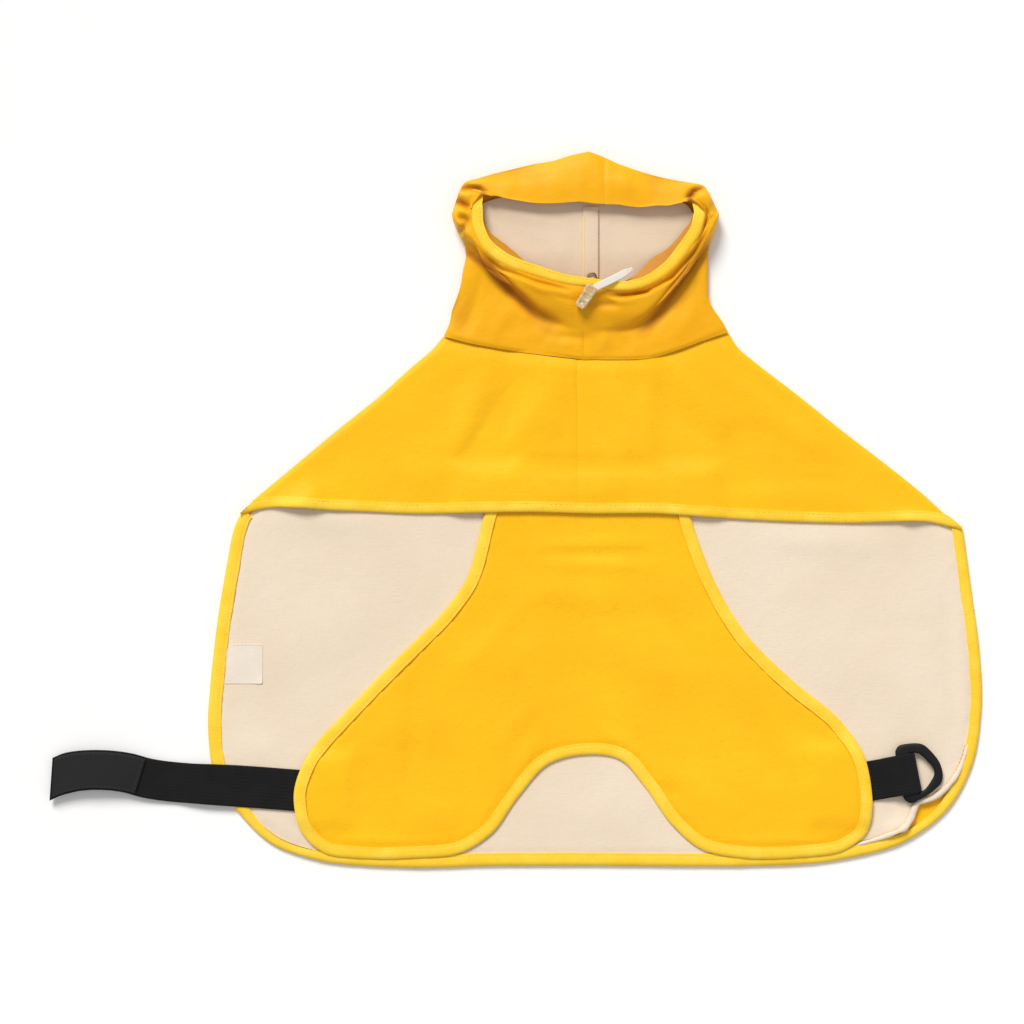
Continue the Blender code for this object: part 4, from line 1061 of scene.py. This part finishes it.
Section = namedtuple("Section", "throatY throatZ frontZ cheekZ sideZ earZ backZ crownY crownZ seamX")
Half = namedtuple("Half", "frontX frontY cheekX cheekY sideX sideY earX earY backX backY")
sections = rowsOf(
    Section,
    (93.2, 7.8, 6.8, 6.4, 5.6, 0, 0, 106.3, 0, -2.5),
    (102, 8.2, 7, 6.4, 5.6, 0, 0, 131, 0, -2.5),
    (110, 9, 6.8, 6.4, 5.6, 0, 0, 163, 0, -2.5),
    (114, 9.8, 10.4, 10.6, 6.6, 0, 0, 190, 0, -1),
    (121, 11.6, 13.4, 13.4, 7, 0, 0, 211, 0, 2),
    (129, 13, 15, 15, 9.5, 6.6, 6.2, 220.8, 6.2, 9.5),
    (134, 13.6, 15.4, 15.4, 14.4, 12, 12, 207, 12.2, 10),
    (138.2, 14, 15, 15, 14.6, 14.4, 12.8, 191.6, 12.6, 10),
)
leftHalf = rowsOf(
    Half,
    (-46, 98.5, -76, 104, -90.5, 108, -86.5, 107.4, -42, 106.3),
    (-44, 107, -73, 115, -86.5, 124, -82.5, 127, -42, 130),
    (-33, 121, -57, 139.5, -79, 158, -74, 158, -40, 161),
    (-33, 124.5, -57, 143, -80, 164, -75, 177, -39, 185),
    (-33, 129.5, -61, 147.5, -83, 174, -77, 192, -38, 204),
    (-33, 135, -65, 153, -84.5, 186, -77, 204.5, -38, 215.5),
    (-33, 140.5, -64, 157, -76.4, 187.2, -73, 203, -34, 204),
    (-34, 144.8, -61, 158, -73.2, 187, -66.5, 195.8, -32, 191.3),
)
rightHalf = rowsOf(
    Half,
    (40, 94.5, 72, 105, 88, 110.5, 84, 109.6, 38, 106.3),
    (40, 103.5, 68, 114.5, 80.5, 126, 76.5, 128, 38, 130),
    (32, 114, 59, 141, 75.5, 160, 71, 158, 37, 161),
    (32, 117.5, 60, 145, 76.5, 166, 72, 177, 36, 185),
    (34, 122, 62.5, 147.8, 80.5, 176, 73, 191, 35, 202.5),
    (34, 127.5, 63.2, 150.2, 81.5, 185, 73, 201.5, 35, 212.5),
    (35, 133, 65, 158, 76.6, 184.2, 70, 199.5, 33, 201.5),
    (34, 137.2, 60, 157, 73.4, 184, 64.5, 192.4, 31, 189.8),
)
hoodSettings = {
    "across": 22, "along": 12, "sideStation": 3, "flared": 6, "turnSteep": 0.75, "turnShare": 0.6, "thick": 0.6,
    "seamX": -2.5, "seamGap": 0.02, "rimMargin": 3.2, "rimRise": 0.5, "easeRise": 0.35,
    "lip": ((0.9, 0.5), (1.5, 2.2)), "foldShadeDepth": 5.4, "foldLow": 2.0, "clear": 2.1, "floorClear": 0.05,
    "ripples": (Ripple(15.0, 8.0, 0.45), Ripple(38.0, 2.0, 0.6)), "overLining": 2.6, "foldedFrom": 4.0,
    "neckDip": (0.9, 1.6), "neckRows": 5, "throatDip": (0.5, 0.9), "crownDip": (0.25, 0.9), "rimRows": 3,
    "crownFrom": 199, "crownFade": 14, "crownTop": 14, "sideFrom": 62, "sideFade": 12, "bandRows": 14,
}
rimLine = (
    (-73.2, 187, 14.2), (-72.4, 176, 14.6), (-67, 163.8, 15), (-54, 152.8, 15), (-34, 145.2, 15),
    (-12, 139.6, 14.4), (3, 138, 14.2), (16, 135.9, 14.3), (34, 137.6, 15), (50, 146.4, 15), (62, 160, 15),
    (70.5, 173, 14.8), (73.4, 184, 14.4),
)
hoodFurrows = rowsOf(
    Furrow, (((-80, 169), (-74, 160), (-62, 151), (-48, 136), (-33, 122), (-15, 113)), 3.5, -4.9),
    (((79, 172), (71, 159), (60, 145), (48, 127), (38, 115), (28, 108)), 3.7, -3.9),
    (((-66, 167), (-50, 151), (-32, 138), (-14, 130)), 3, 1.2),
    (((68, 168), (56, 151), (40, 138), (16, 128)), 3, 1.2),
    (((-72, 164), (-54, 149.6), (-34, 141.8), (-10, 135.4)), 1.4, -2.2),
    (((76, 176), (66, 160), (52, 144.6), (36, 135.6), (12, 132.4)), 1.5, -3.4),
    (((-72, 206), (-28, 214)), 12, -1.3), (((28, 213), (68, 205)), 12, -1.4),
    (((-84, 142), (-80, 108)), 8, -1.6), (((12, 134), (26, 133), (40, 137)), 2, -2.2),
    (((-40, 118), (-18, 108), (4, 106)), 3, -1.2), (((-2, 128), (20, 126)), 2.2, -1.2),
    (((-82, 199.5), (-75, 201), (-68, 200), (-62, 195)), 2.2, -3.8),
    (((74, 201), (67, 199.5), (63.5, 195), (62, 188)), 2.2, -4.2),
    (((-87, 195), (-80, 191.5), (-73, 187)), 2.1, -4.4), (((-82, 183), (-73, 179.5)), 1.9, -3.4),
    (((-84, 171), (-79, 175), (-74, 179)), 1.9, -2.8), (((-83, 198), (-73, 194)), 1.9, 1.2),
    (((65, 191.5), (70, 188), (77, 183.5)), 2, -3.6), (((76, 184), (71, 176), (66, 168)), 1.9, -3),
    (((70, 197), (78, 190)), 2.8, 1.4), (((-84, 187), (-77, 185)), 2.4, 1.2),
)
hoodCreases = rowsOf(
    Crease, (-74, 140, -52, 118, 5, 0.8), (74, 134, 56, 112, 5, 0.8), (10, 222, 10, 196, 1.8, -0.5),
    (-6, 218, -4, 196, 3, 0.6), (22, 214, 24, 194, 4, 0.6), (-30, 212, -26, 196, 5, -0.8),
    (40, 208, 44, 192, 5, -0.7), (-52, 206, -48, 195, 4, 0.7), (-2, 96, -2, 112, 1.2, -0.5),
    (-12, 98, -14, 112, 3, 0.6), (8, 97, 12, 112, 3, 0.7), (-34, 100, -24, 114, 4, -0.7),
    (26, 98, 20, 112, 4, -0.8), (-62, 106, -46, 128, 5, 0.9), (60, 104, 50, 126, 5, 0.9),
    (-78, 112, -68, 146, 4, -0.9), (76, 116, 68, 146, 4, -0.9), (-16, 137, -8, 122, 3, 0.5),
    (8, 131, 18, 127, 2.2, -1), (-28, 135, -10, 130, 2.2, -0.6),
)
crownTrim = (  # along X: how much higher the crown fold stands than its sections
    (-84, 0.5), (-76, -2), (-70, -2.7), (-58, -1.8), (-46, -1.3), (-34, -0.8), (-22, -0.4), (-10, 2.3),
    (-4, 3), (0.5, 3.6), (5, 1.6), (10, -0.8), (20, -2), (38, -2.4), (50, -3.3), (62, -3.7), (68, -2.9),
    (74, -0.6), (82, 0),
)
bandTrim = (  # along X: the same for the lower edge of the turned band
    (-70, 0), (-58, -0.6), (-46, -0.9), (-28, -0.7), (-16, -0.2), (-5, 0.5), (3, -0.9), (10, -1.6),
    (20, -1), (31, -1.9), (42, -1.8), (50, -3), (58, -2), (66, 0),
)
leftTrim = (  # along Y: how far the side fold stands in from its sections
    (106, 0), (116, 1.9), (124, 1.4), (132, 2.5), (140, 3.2), (148, 2.4), (156, 2.5), (164, 3.1),
    (172, 1.6), (180, 0),
)
rightTrim = (
    (106, 0), (118, -0.4), (124, -2), (132, -4.1), (140, -2.9), (148, -1.6), (156, -0.4), (164, 0),
)


def hoodRelief(x, y):
    return creaseHeight(x, y, hoodCreases) + furrowHeight(x, y, hoodFurrows)


def refineLine(points, parts, turn=None):  # at its turn a line runs straight down
    result = []
    for index, (start, end) in enumerate(zip(points, points[1:])):
        before = points[index - 1] if index > 0 else start * 2 - end
        after = points[index + 2] if index + 2 < len(points) else end * 2 - start
        downward = Vector((0, 0, -hoodSettings["turnSteep"] * (end - start).length))
        first = downward if index == turn else slopeAt(before, start, end)
        second = downward if index + 1 == turn else slopeAt(start, end, after)
        result += [hermite(start, end, first, second, tick / parts) for tick in range(parts)]
    return result + [points[-1]]


def hoodRow(section, half, side):
    gap = side * hoodSettings["seamGap"]
    tip = section.earZ + hoodSettings["turnShare"] * (section.sideZ - section.earZ)
    spots = [(hoodSettings["seamX"] + gap, section.throatY, section.throatZ)]
    heights = (section.frontZ, section.cheekZ, tip, section.earZ, section.backZ)
    spots += [(x, y, z) for x, y, z in zip(half[::2], half[1::2], heights)]
    spots.append((section.seamX + gap, section.crownY, section.crownZ))
    return [Vector(spot) for spot in spots]


def rimHalf(side, count):
    half = [point for point in smoothLine(rimLine, 1.0) if (point.x - hoodSettings["seamX"]) * side > 0]
    return evenly(half[::side], 1.0, count=count)


def hoodGrid(halves, side):
    own = hoodSettings
    along = own["along"]
    lastFront = own["across"] * 3
    rows = []
    for index, (section, half) in enumerate(zip(sections, halves)):
        turn = own["sideStation"] if index < own["flared"] else None
        rows.append(refineLine(hoodRow(section, half, side), own["across"], turn))
    grid = [list(row) for row in zip(*[refineLine(column, along) for column in zip(*rows)])]
    for point in grid[0][lastFront:]:
        point.y = max(point.y, neckBackY)
    rim = rimHalf(side, lastFront)
    outs = inset(rim, -side * own["rimMargin"])
    for step in range(along + 1):  # from outside the rim to the rim itself
        share = step / along
        rise = Vector((0, 0, own["rimRise"] * (1 - share)))
        for column, (edge, out) in enumerate(zip(rim, outs)):
            grid[-1 - along + step][column] = out.lerp(edge, share) + rise
    for step in range(1, along):  # ease the rows between the last full section and those beside the rim
        rise = Vector((0, 0, own["easeRise"] * math.sin(math.pi * step / along)))
        for column in range(len(rim)):
            spot = grid[-1 - 2 * along][column].lerp(grid[-1 - along][column], step / along)
            grid[-1 - 2 * along + step][column] = spot + rise
    edge = grid[-1]
    for drop, tuck in own["lip"]:  # turned in under the rim, and further back at the crown
        grid.append([point + (Vector((0, tuck, -drop)) if column > lastFront else Vector((0, 0, -drop * 0.5)))
                     for column, point in enumerate(edge)])
    return grid


def dressHood(grid, side):  # folds and seams, with the hood kept over the pieces below it
    own = hoodSettings
    rows, columns = len(grid), len(grid[0])
    lastFront = own["across"] * 3
    sideTrim = leftTrim if side < 0 else rightTrim
    normals = [[gridNormal(grid, row, column) * side for column in range(columns)] for row in range(rows)]
    for row, line in enumerate(grid):
        for column, point in enumerate(line):
            normal = normals[row][column]
            facing = softStep((normal.z - 0.1) / 0.5) if point.z > own["foldedFrom"] else 0.0
            height = hoodRelief(point.x, point.y) + rippleHeight(point.x, point.y, *own["ripples"])
            for (deep, wide), away in ((own["neckDip"], row if row < own["neckRows"] else rows),
                                       (own["throatDip"], column), (own["crownDip"], columns - 1 - column)):
                height -= deep * hump(away, wide)
            if row >= rows - own["rimRows"] and column <= lastFront:
                height = 0.0
            point.xyz = point + normal * (height * facing)
            reach = softStep((point.y - own["crownFrom"]) / own["crownFade"])
            reach *= softStep((own["crownTop"] - point.z) / 4)
            point.y += tableAt(crownTrim, point.x) * reach
            if column > lastFront:
                point.y += tableAt(bandTrim, point.x) * softStep((row - rows + own["bandRows"]) / 12)
            point.x += tableAt(sideTrim, point.y) * softStep((abs(point.x) - own["sideFrom"]) / own["sideFade"])
            point.z = max(point.z, underLift(point.x, point.y) + own["floorClear"])
            if column < own["across"] * own["overLining"]:
                point.z = max(point.z, liningTop(point.x, point.y) + own["clear"])


def makeHood():
    for name, node, halves, side in (("hoodLeftCloth", "hood_left", leftHalf, -1),
                                     ("hoodRightCloth", "hood_right", rightHalf, 1)):
        grid = hoodGrid(halves, side)
        dressHood(grid, side)
        half = layGrid(name, grid, hoodSettings["thick"], -side, "hoodYellowCloth", node)
        foldShadeMarks = half.data.attributes.new("fold", "FLOAT", "POINT")
        for vert, foldShade in zip(half.data.vertices, foldShadeMarks.data):  # painted shade: the cloth colour is darker in deep folds
            x, y, z = vert.co / mm
            deep = softStep(-hoodRelief(x, y) / hoodSettings["foldShadeDepth"])
            foldShade.value = deep * softStep((z - hoodSettings["foldLow"]) / 2)


# bound rim of the face opening, its facing and the eyelet

facingWidths = (  # along the rim: how far the facing shows past its tape
    (0, -2.5), (0.1, 1), (0.22, 4.5), (0.36, -1), (0.56, -2), (0.72, 7), (0.84, 3), (1, -2.5),
)
rimSettings = {
    "below": 1.7, "count": 66, "narrowAt": 6, "narrow": 0.24, "narrowLong": 34,
    "tape": {"width": tapeWidth, "thick": 2.45, "stitchIn": 1.5, "sink": 0.16, "pitch": 2.7, "radius": 0.24},
    "facingNear": 2.2, "facingDrop": 0.34, "facingThick": 0.6, "facingSteps": 6,
    "facingRipple": Ripple(9.0, 2.0, 0.8),
    "ends": (((-72.4, 199.5, 9.6), (-73.2, 194.5, 11.4), (-73.5, 190.0, 13.0), (-73.2, 187.0, 14.2)),
             ((73.4, 184.0, 14.4), (73.2, 187.5, 13.0), (72.2, 192.0, 11.2), (70.4, 197.0, 9.4))),
}
eyeletSettings = {"middle": (2.5, 144.8), "lift": 3.3, "radius": 2.7, "wire": 0.48, "high": 0.55, "count": 28,
                  "corners": 10}


def rimSwell(x):
    return 1 - rimSettings["narrow"] * hump(x - rimSettings["narrowAt"], rimSettings["narrowLong"])


def makeRim():
    own = rimSettings
    leftEnd, rightEnd = (smoothLine(end, 1.5) for end in own["ends"])
    edge = leftEnd[:-1] + rimHalf(-1, own["count"])[:0:-1] + rimHalf(1, own["count"]) + rightEnd[1:]
    bindEdge("rim", "hood_rim_binding", edge, own["tape"], lambda x, y, index: edge[index].z - own["below"],
             rimSwell, kept=lambda line: line[:-1])
    shares = [step / own["facingSteps"] for step in range(own["facingSteps"] + 1)]
    near = own["facingNear"]
    rings = []
    for index, point in enumerate(edge):
        side = sideOf(edge, index)
        far = tapeWidth * rimSwell(point.x) + tableAt(facingWidths, index / (len(edge) - 1), softStep)
        far += rippleHeight(point.x, point.y, own["facingRipple"])
        ring = []
        for down, order in ((own["facingThick"], 1), (0.0, -1)):
            for share in shares[::order]:
                past = (far - near) * share
                sag = own["facingDrop"] * past + 0.5 * share ** 3
                ring.append(beside(point, side, near + past, point.z - own["below"] - 0.1 - down - sag))
        rings.append(ring)
    sweep("rimFacing", rings, "facingCloth", "hood_rim_facing", sharpAngle=50)
    makeEyelet()


def makeEyelet():
    x, y = eyeletSettings["middle"]
    middle = Vector((x, y, liningTop(x, y) + eyeletSettings["lift"]))
    profile = roundProfile(eyeletSettings["wire"], eyeletSettings["high"], eyeletSettings["corners"])
    rings = []
    for x, y in roundProfile(1.0, 1.0, eyeletSettings["count"]):
        outward = Vector((x, y, 0))
        centre = middle + outward * eyeletSettings["radius"]
        rings.append([centre + outward * away + Vector((0, 0, up)) for away, up in profile])
    sweep("eyeletRing", rings, "eyeletMetal", "cord_eyelet", closed=True)


# inside of the hood

hoodLiningEdge = (
    (60, 106.6), (59, 128), (61, 148), (69, 163), (68, 180), (62, 190), (33, 198), (0, 205), (-36, 199),
    (-67, 190), (-72, 178), (-70, 163), (-62, 148), (-60, 128), (-60, 106.6),
)
hoodInsideCreases = rowsOf(
    Crease, (-62, 186, -20, 180, 3, 0.8), (-20, 180, 4, 186, 3, 0.6), (10, 183, 40, 181, 3, 0.7),
    (-46, 176, -30, 158, 6, -0.5), (-20, 172, -14, 152, 4, 0.45), (22, 174, 34, 158, 5, 0.4),
    (44, 178, 54, 164, 5, -0.4), (14, 178, 16, 150, 2.5, -0.3), (-9, 182, -8, 150, 2, -0.3),
)
seamTapeSettings = {
    "low": (-3.0, 142.0), "high": (7.0, 189.0), "lift": 0.805, "bow": 0.25, "thick": 0.6, "pitch": 1.3,
    "radius": 0.34,
}
hoodLiningSettings = {"cell": 2.6, "lift": 0.7, "ripple": Ripple(17.0, 3.0, 0.25)}


def hoodInside(x, y):
    relief = creaseHeight(x, y, hoodInsideCreases) + rippleHeight(x, y, hoodLiningSettings["ripple"])
    return liningTop(x, y) + hoodLiningSettings["lift"] + relief


def seamTapeTop(x, y):
    bow = seamTapeSettings["bow"] * math.cos((x - 2) / 10 * math.pi)
    return hoodInside(x, y) + seamTapeSettings["lift"] + bow


def makeHoodInside():
    bottom = evenly([Vector(hoodLiningEdge[-1]), Vector(hoodLiningEdge[0])], 4.0)
    outline = bottom[:-1] + smoothLine(hoodLiningEdge, 3.0)[:-1]
    own = hoodLiningSettings
    layPanel("hoodLiningCloth", outline, own["cell"], hoodInside, liningThick, "hoodLining", "hood_lining")
    lowX, lowY = seamTapeSettings["low"]
    highX, highY = seamTapeSettings["high"]
    layPanel("seamTapeCloth", boxOutline(lowX, lowY, highX, highY, 1.5), 1.5, seamTapeTop,
             seamTapeSettings["thick"], "hoodLining", "hood_seam_tape")
    layPanel("seamEdging", boxOutline(lowX - 0.4, lowY + 1, lowX + 0.5, highY - 6, 0.5), 0.6,
             lambda x, y: seamTapeTop(x, y) + 0.3, 0.5, "paleEdging")
    x = highX - 0.5
    line = [Vector((x, y, seamTapeTop(x, y) + 0.1)) for y in range(int(lowY) + 1, int(highY) - 1)]
    # the dense brown stitch line is the seam and also paints the shadow along the tape's edge
    sewLine("seamTapeStitches", [line], "brownThread", seamTapeSettings["pitch"], seamTapeSettings["radius"])


# visor and leash flap under the hood and the back

visorEdge = (
    (-66, 195), (-68, 184), (-61, 172), (-42, 167), (0, 165.5), (42, 167), (61, 172), (68, 184), (66, 194),
)
visorTop = (
    (66, 194), (33, 205), (0, 211), (-33, 206), (-66, 195),
)
flapShape = {"half": 33.0, "top": 104.0, "roundY": 66.0, "depth": 27.0, "steps": 24}
smallTape = {"width": 5.5, "thick": 1.75, "stitchIn": 1.4, "sink": 0.05, "panelIn": 4.1}


def makeBoundSheet(name, sheet, node, finish, edge, top, z, thick):
    layPanel(sheet, inset(edge, smallTape["panelIn"]) + top, 4.0, lambda x, y: z, thick, finish, node)
    bindEdge(name, node + "_binding", edge, smallTape, lambda x, y, index: 0.0)


def makeVisor():
    makeBoundSheet("visor", "visorFilm", "visor", "clearFilm", smoothLine(visorEdge, 3.0),
                   smoothLine(visorTop, 4.0)[1:-1], 0.95, 0.6)


def makeFlap():
    half, top, roundY, depth, steps = flapShape.values()
    turns = [math.pi + math.pi * index / steps for index in range(steps + 1)]
    curve = [Vector((half * math.cos(turn), roundY + depth * math.sin(turn))) for turn in turns]
    edge = evenly([Vector((-half, top)), *curve, Vector((half, top))], 3.0)
    makeBoundSheet("flap", "flapCloth", "leash_flap", "yellowCloth", edge, [], 1.15, 0.7)


# belt: webbing straps, hook patch and loop

Strap = namedtuple("Strap", "x y z width")
longStrap = rowsOf(
    Strap, (-336, -169.3, 3.2, 27), (-329, -166.2, 4.4, 26), (-320, -164.1, 5.4, 25.2),
    (-311, -163.3, 6, 25), (-299, -163.6, 5.6, 25), (-288, -165.2, 4.3, 25), (-276, -168.6, 2.7, 25),
    (-264, -170.6, 1.4, 25), (-256, -171.4, 1.2, 25), (-247, -172, 2.6, 25), (-238, -172.5, 3.1, 25.5),
    (-222, -173.4, 2.95, 26), (-204, -174.6, 2.85, 26), (-186, -176, 2.8, 26), (-158, -178, 2.8, 25),
)
shortStrap = (
    (-14, 3.5), (-6, 3.5), (2, 3.5), (4.9, 3.75), (6.3, 5.2), (6.3, 7.2), (4.9, 8.6), (2, 8.85),
    (-4.4, 8.75), (-8, 7.4), (-11.5, 5.75), (-15, 5.2), (-18.5, 4.3), (-22, 3.6), (-36, 3.5), (-50, 3.5),
)
strapShape = {
    "thick": 1.4, "width": 25.0, "endX": -336.0, "ribs": 13, "rib": 0.035, "edge": 0.5, "endSide": (0.07, 1.0),
    "squareOver": 26,
}
hookShape = {
    "endX": -279.0, "thick": 1.3, "lift": 0.1, "narrower": 2.4, "stitchIn": 1.2, "pitch": 2.8, "radius": 0.22,
}
loopOuter = (
    (-4.5, 15.6), (-2, 18.4), (5, 18.6), (13, 16.6), (18, 10.5), (21.6, 2.8), (21.9, -5), (20, -9.4),
    (13.2, -14), (5, -17), (-1, -18.4), (-4.6, -15.4),
)
loopInner = (
    (3.75, 13.6), (6.5, 13.9), (10, 12.6), (14.2, 8), (17.6, 0.5), (17.4, -4.5), (14.2, -9), (9.5, -12.8),
    (6.2, -13.9), (3.75, -13.6),
)
loopSettings = {
    "middle": Vector((199.5, -166.0)), "tilt": math.radians(11.0), "centre": Vector((9.0, 0.0)), "thick": 2.8,
    "low": 4.7, "spacing": 1.6, "corners": 16, "square": 0.6,
}


def webbingProfile(thick):
    width = strapShape["width"]
    steps = strapShape["ribs"] * 4
    top = []
    for step in range(steps + 1):
        across = -width / 2 + width * step / steps
        edge = min(1.0, (width / 2 - abs(across)) / strapShape["edge"])
        rib = strapShape["rib"] * math.cos(math.pi * step / 2)
        top.append((across, thick * (0.6 + 0.4 * edge) + rib * edge))
    return top + [(across, thick - up) for across, up in reversed(top)]


def strapSide(line, index):  # the cut end stands square
    square = softStep((line[index].x - strapShape["endX"]) / strapShape["squareOver"])
    return sideOf(line, index).lerp(Vector(strapShape["endSide"]), 1 - square).normalized()


def ribbon(name, line, widths, lift, thick, finish, node):
    profile = webbingProfile(thick)
    rings = []
    for index, (point, width) in enumerate(zip(line, widths)):
        side = strapSide(line, index)
        rings.append([beside(point, side, -across * width / strapShape["width"], point.z + lift + up)
                      for across, up in profile])
    sweep(name, rings, finish, node, line, profile, sharpAngle=50)


def makeLongStrap():
    line = smoothLine([row[:3] for row in longStrap], 1.6)
    table = [(row.x, row.width) for row in longStrap]
    widths = [tableAt(table, min(max(point.x, table[0][0]), table[-1][0])) for point in line]
    ribbon("longWebbing", line, widths, 0.0, strapShape["thick"], "blackWebbing", "long_strap")
    end = len([point for point in line if point.x < hookShape["endX"]])
    line = line[1:end]
    widths = [width - hookShape["narrower"] for width in widths[1:end]]
    low = strapShape["thick"] + hookShape["lift"]
    ribbon("hookPad", line, widths, low, hookShape["thick"], "hookTape", "hook_patch")
    runs = []
    for away in (1, -1):
        runs.append([beside(point, strapSide(line, index), away * (width / 2 - hookShape["stitchIn"]),
                            point.z + low + hookShape["thick"] + 0.02)
                     for index, (point, width) in enumerate(zip(line, widths))])
    across = [runs[0][-2].lerp(runs[1][-2], step / 8) for step in range(9)]
    sewLine("hookStitches", runs + [across], "blackThread", hookShape["pitch"], hookShape["radius"])


def loopPlace(along, across, z):
    cosine, sine = math.cos(loopSettings["tilt"]), math.sin(loopSettings["tilt"])
    x, y = loopSettings["middle"]
    return Vector((x + along * cosine - across * sine, y + along * sine + across * cosine, z))


def makeShortStrap():
    path = smoothLine(shortStrap, 0.9)
    profile = webbingProfile(strapShape["thick"])
    rings = []
    for index, point in enumerate(path):
        side = sideOf(path, index)
        spots = [(across, point + side * (up - strapShape["thick"] / 2)) for across, up in profile]
        rings.append([loopPlace(spot.x, -across, spot.y) for across, spot in spots])
    sweep("shortWebbing", rings, "blackWebbing", "short_strap", path, profile, sharpAngle=50)


def rayMeets(origin, direction, first, second):
    side = second - first
    away = first - origin
    bottom = direction.cross(side)
    if abs(bottom) < 1e-9:
        return None
    reach = away.cross(side) / bottom
    share = away.cross(direction) / bottom
    return origin + direction * reach if reach > 0 and 0 <= share <= 1 else None


def makeLoop():
    own = loopSettings
    corners = smoothLine(loopInner, 0.8, True)
    rings = []
    for point in smoothLine(loopOuter, own["spacing"], True):
        direction = (point - own["centre"]).normalized()
        hits = (rayMeets(own["centre"], direction, *ends) for ends in zip(corners, corners[1:] + corners[:1]))
        near = next(hit for hit in hits if hit)
        near = near - direction * (0.7 + 0.9 * softStep(abs(near.y) / 9))
        profile = roundProfile((point - near).length / 2, own["thick"] / 2, own["corners"], own["square"])
        spots = [((point + near) / 2 + direction * x, own["low"] + own["thick"] / 2 + z) for x, z in profile]
        rings.append([loopPlace(spot.x, spot.y, z) for spot, z in spots])
    sweep("loopBody", rings, "blackPlastic", "belt_loop", closed=True, sharpAngle=60)


# care label

labelSettings = {
    "low": (-227.4, -109.5), "high": (-203.8, -84.2), "lean": 2.9, "lift": 0.35, "thick": 0.2, "curl": 0.5,
    "curlLong": 6, "stitchIn": 1.2, "pitch": 2.2, "radius": 0.14,
}


def labelTop(x, y):  # one corner curls up
    own = labelSettings
    right = max(0.0, (x - own["high"][0]) / own["curlLong"] + 1)
    low = max(0.0, (own["low"][1] - y) / own["curlLong"] + 1)
    return liningTop(x, y) + own["lift"] + own["curl"] * right * low


def makeLabel():
    own = labelSettings
    (lowX, lowY), (highX, highY) = own["low"], own["high"]
    outline = boxOutline(lowX, lowY, highX, highY, 1.6)
    for point in outline:  # its left side runs along the tape
        point.x += own["lean"] * (point.y - lowY) / (highY - lowY) * (highX - point.x) / (highX - lowX)
    layPanel("labelTag", outline, 1.7, labelTop, own["thick"], "whiteLabel", "care_label")
    y = highY - own["stitchIn"]
    line = [Vector((x, y, labelTop(x, y) + 0.05)) for x in range(int(lowX + own["lean"]) + 2, int(highX))]
    sewLine("labelStitches", [line], "creamThread", own["pitch"], own["radius"])


# each cut: flat width, length and area in metres, how it lies, what it rests on, and the pieces sewn to it

Sheet = namedtuple("Sheet", "piece width length area held restsOn sewn")
sheets = rowsOf(
    Sheet, ("backCloth", 0.49, 0.335, 0.131, "laid", "leash_flap visor", "backTape backStitches"),
    ("backLining", 0.48, 0.330, 0.125, "laid", "back_outer", "liningStitches liningRoll"),
    ("bellyCloth", 0.355, 0.226, 0.056, "laid", "back_lining", "bellyTape bellyStitches"),
    ("chestLeftCloth", 0.212, 0.112, 0.0150, "folded", "back_lining", "chestTape chestStitches"),
    ("chestRightCloth", 0.232, 0.124, 0.0170, "folded", "back_lining", ""),
    ("hoodLeftCloth", 0.150, 0.190, 0.0170, "folded", "back_lining visor", "rimTape rimStitches rimFacing"),
    ("hoodRightCloth", 0.150, 0.190, 0.0170, "folded", "back_lining visor", "eyeletRing"),
    ("hoodLiningCloth", 0.141, 0.099, 0.0115, "laid", "back_lining", ""),
    ("seamTapeCloth", 0.010, 0.047, 0.00047, "laid", "hood_lining", "seamEdging seamTapeStitches"),
    ("visorFilm", 0.132, 0.045, 0.0046, "laid", "", "visorTape visorStitches"),
    ("flapCloth", 0.058, 0.065, 0.0034, "laid", "", "flapTape flapStitches"),
    ("labelTag", 0.0256, 0.0255, 0.00065, "laid", "back_lining", "labelStitches"),
)

for make in (makeDrawcord, makeBack, makeBelly, makeChest, makeHood, makeRim, makeHoodInside, makeVisor,
             makeFlap, makeLongStrap, makeShortStrap, makeLoop, makeLabel, makeLights, makeFloor):
    make()
    print(make.__name__)
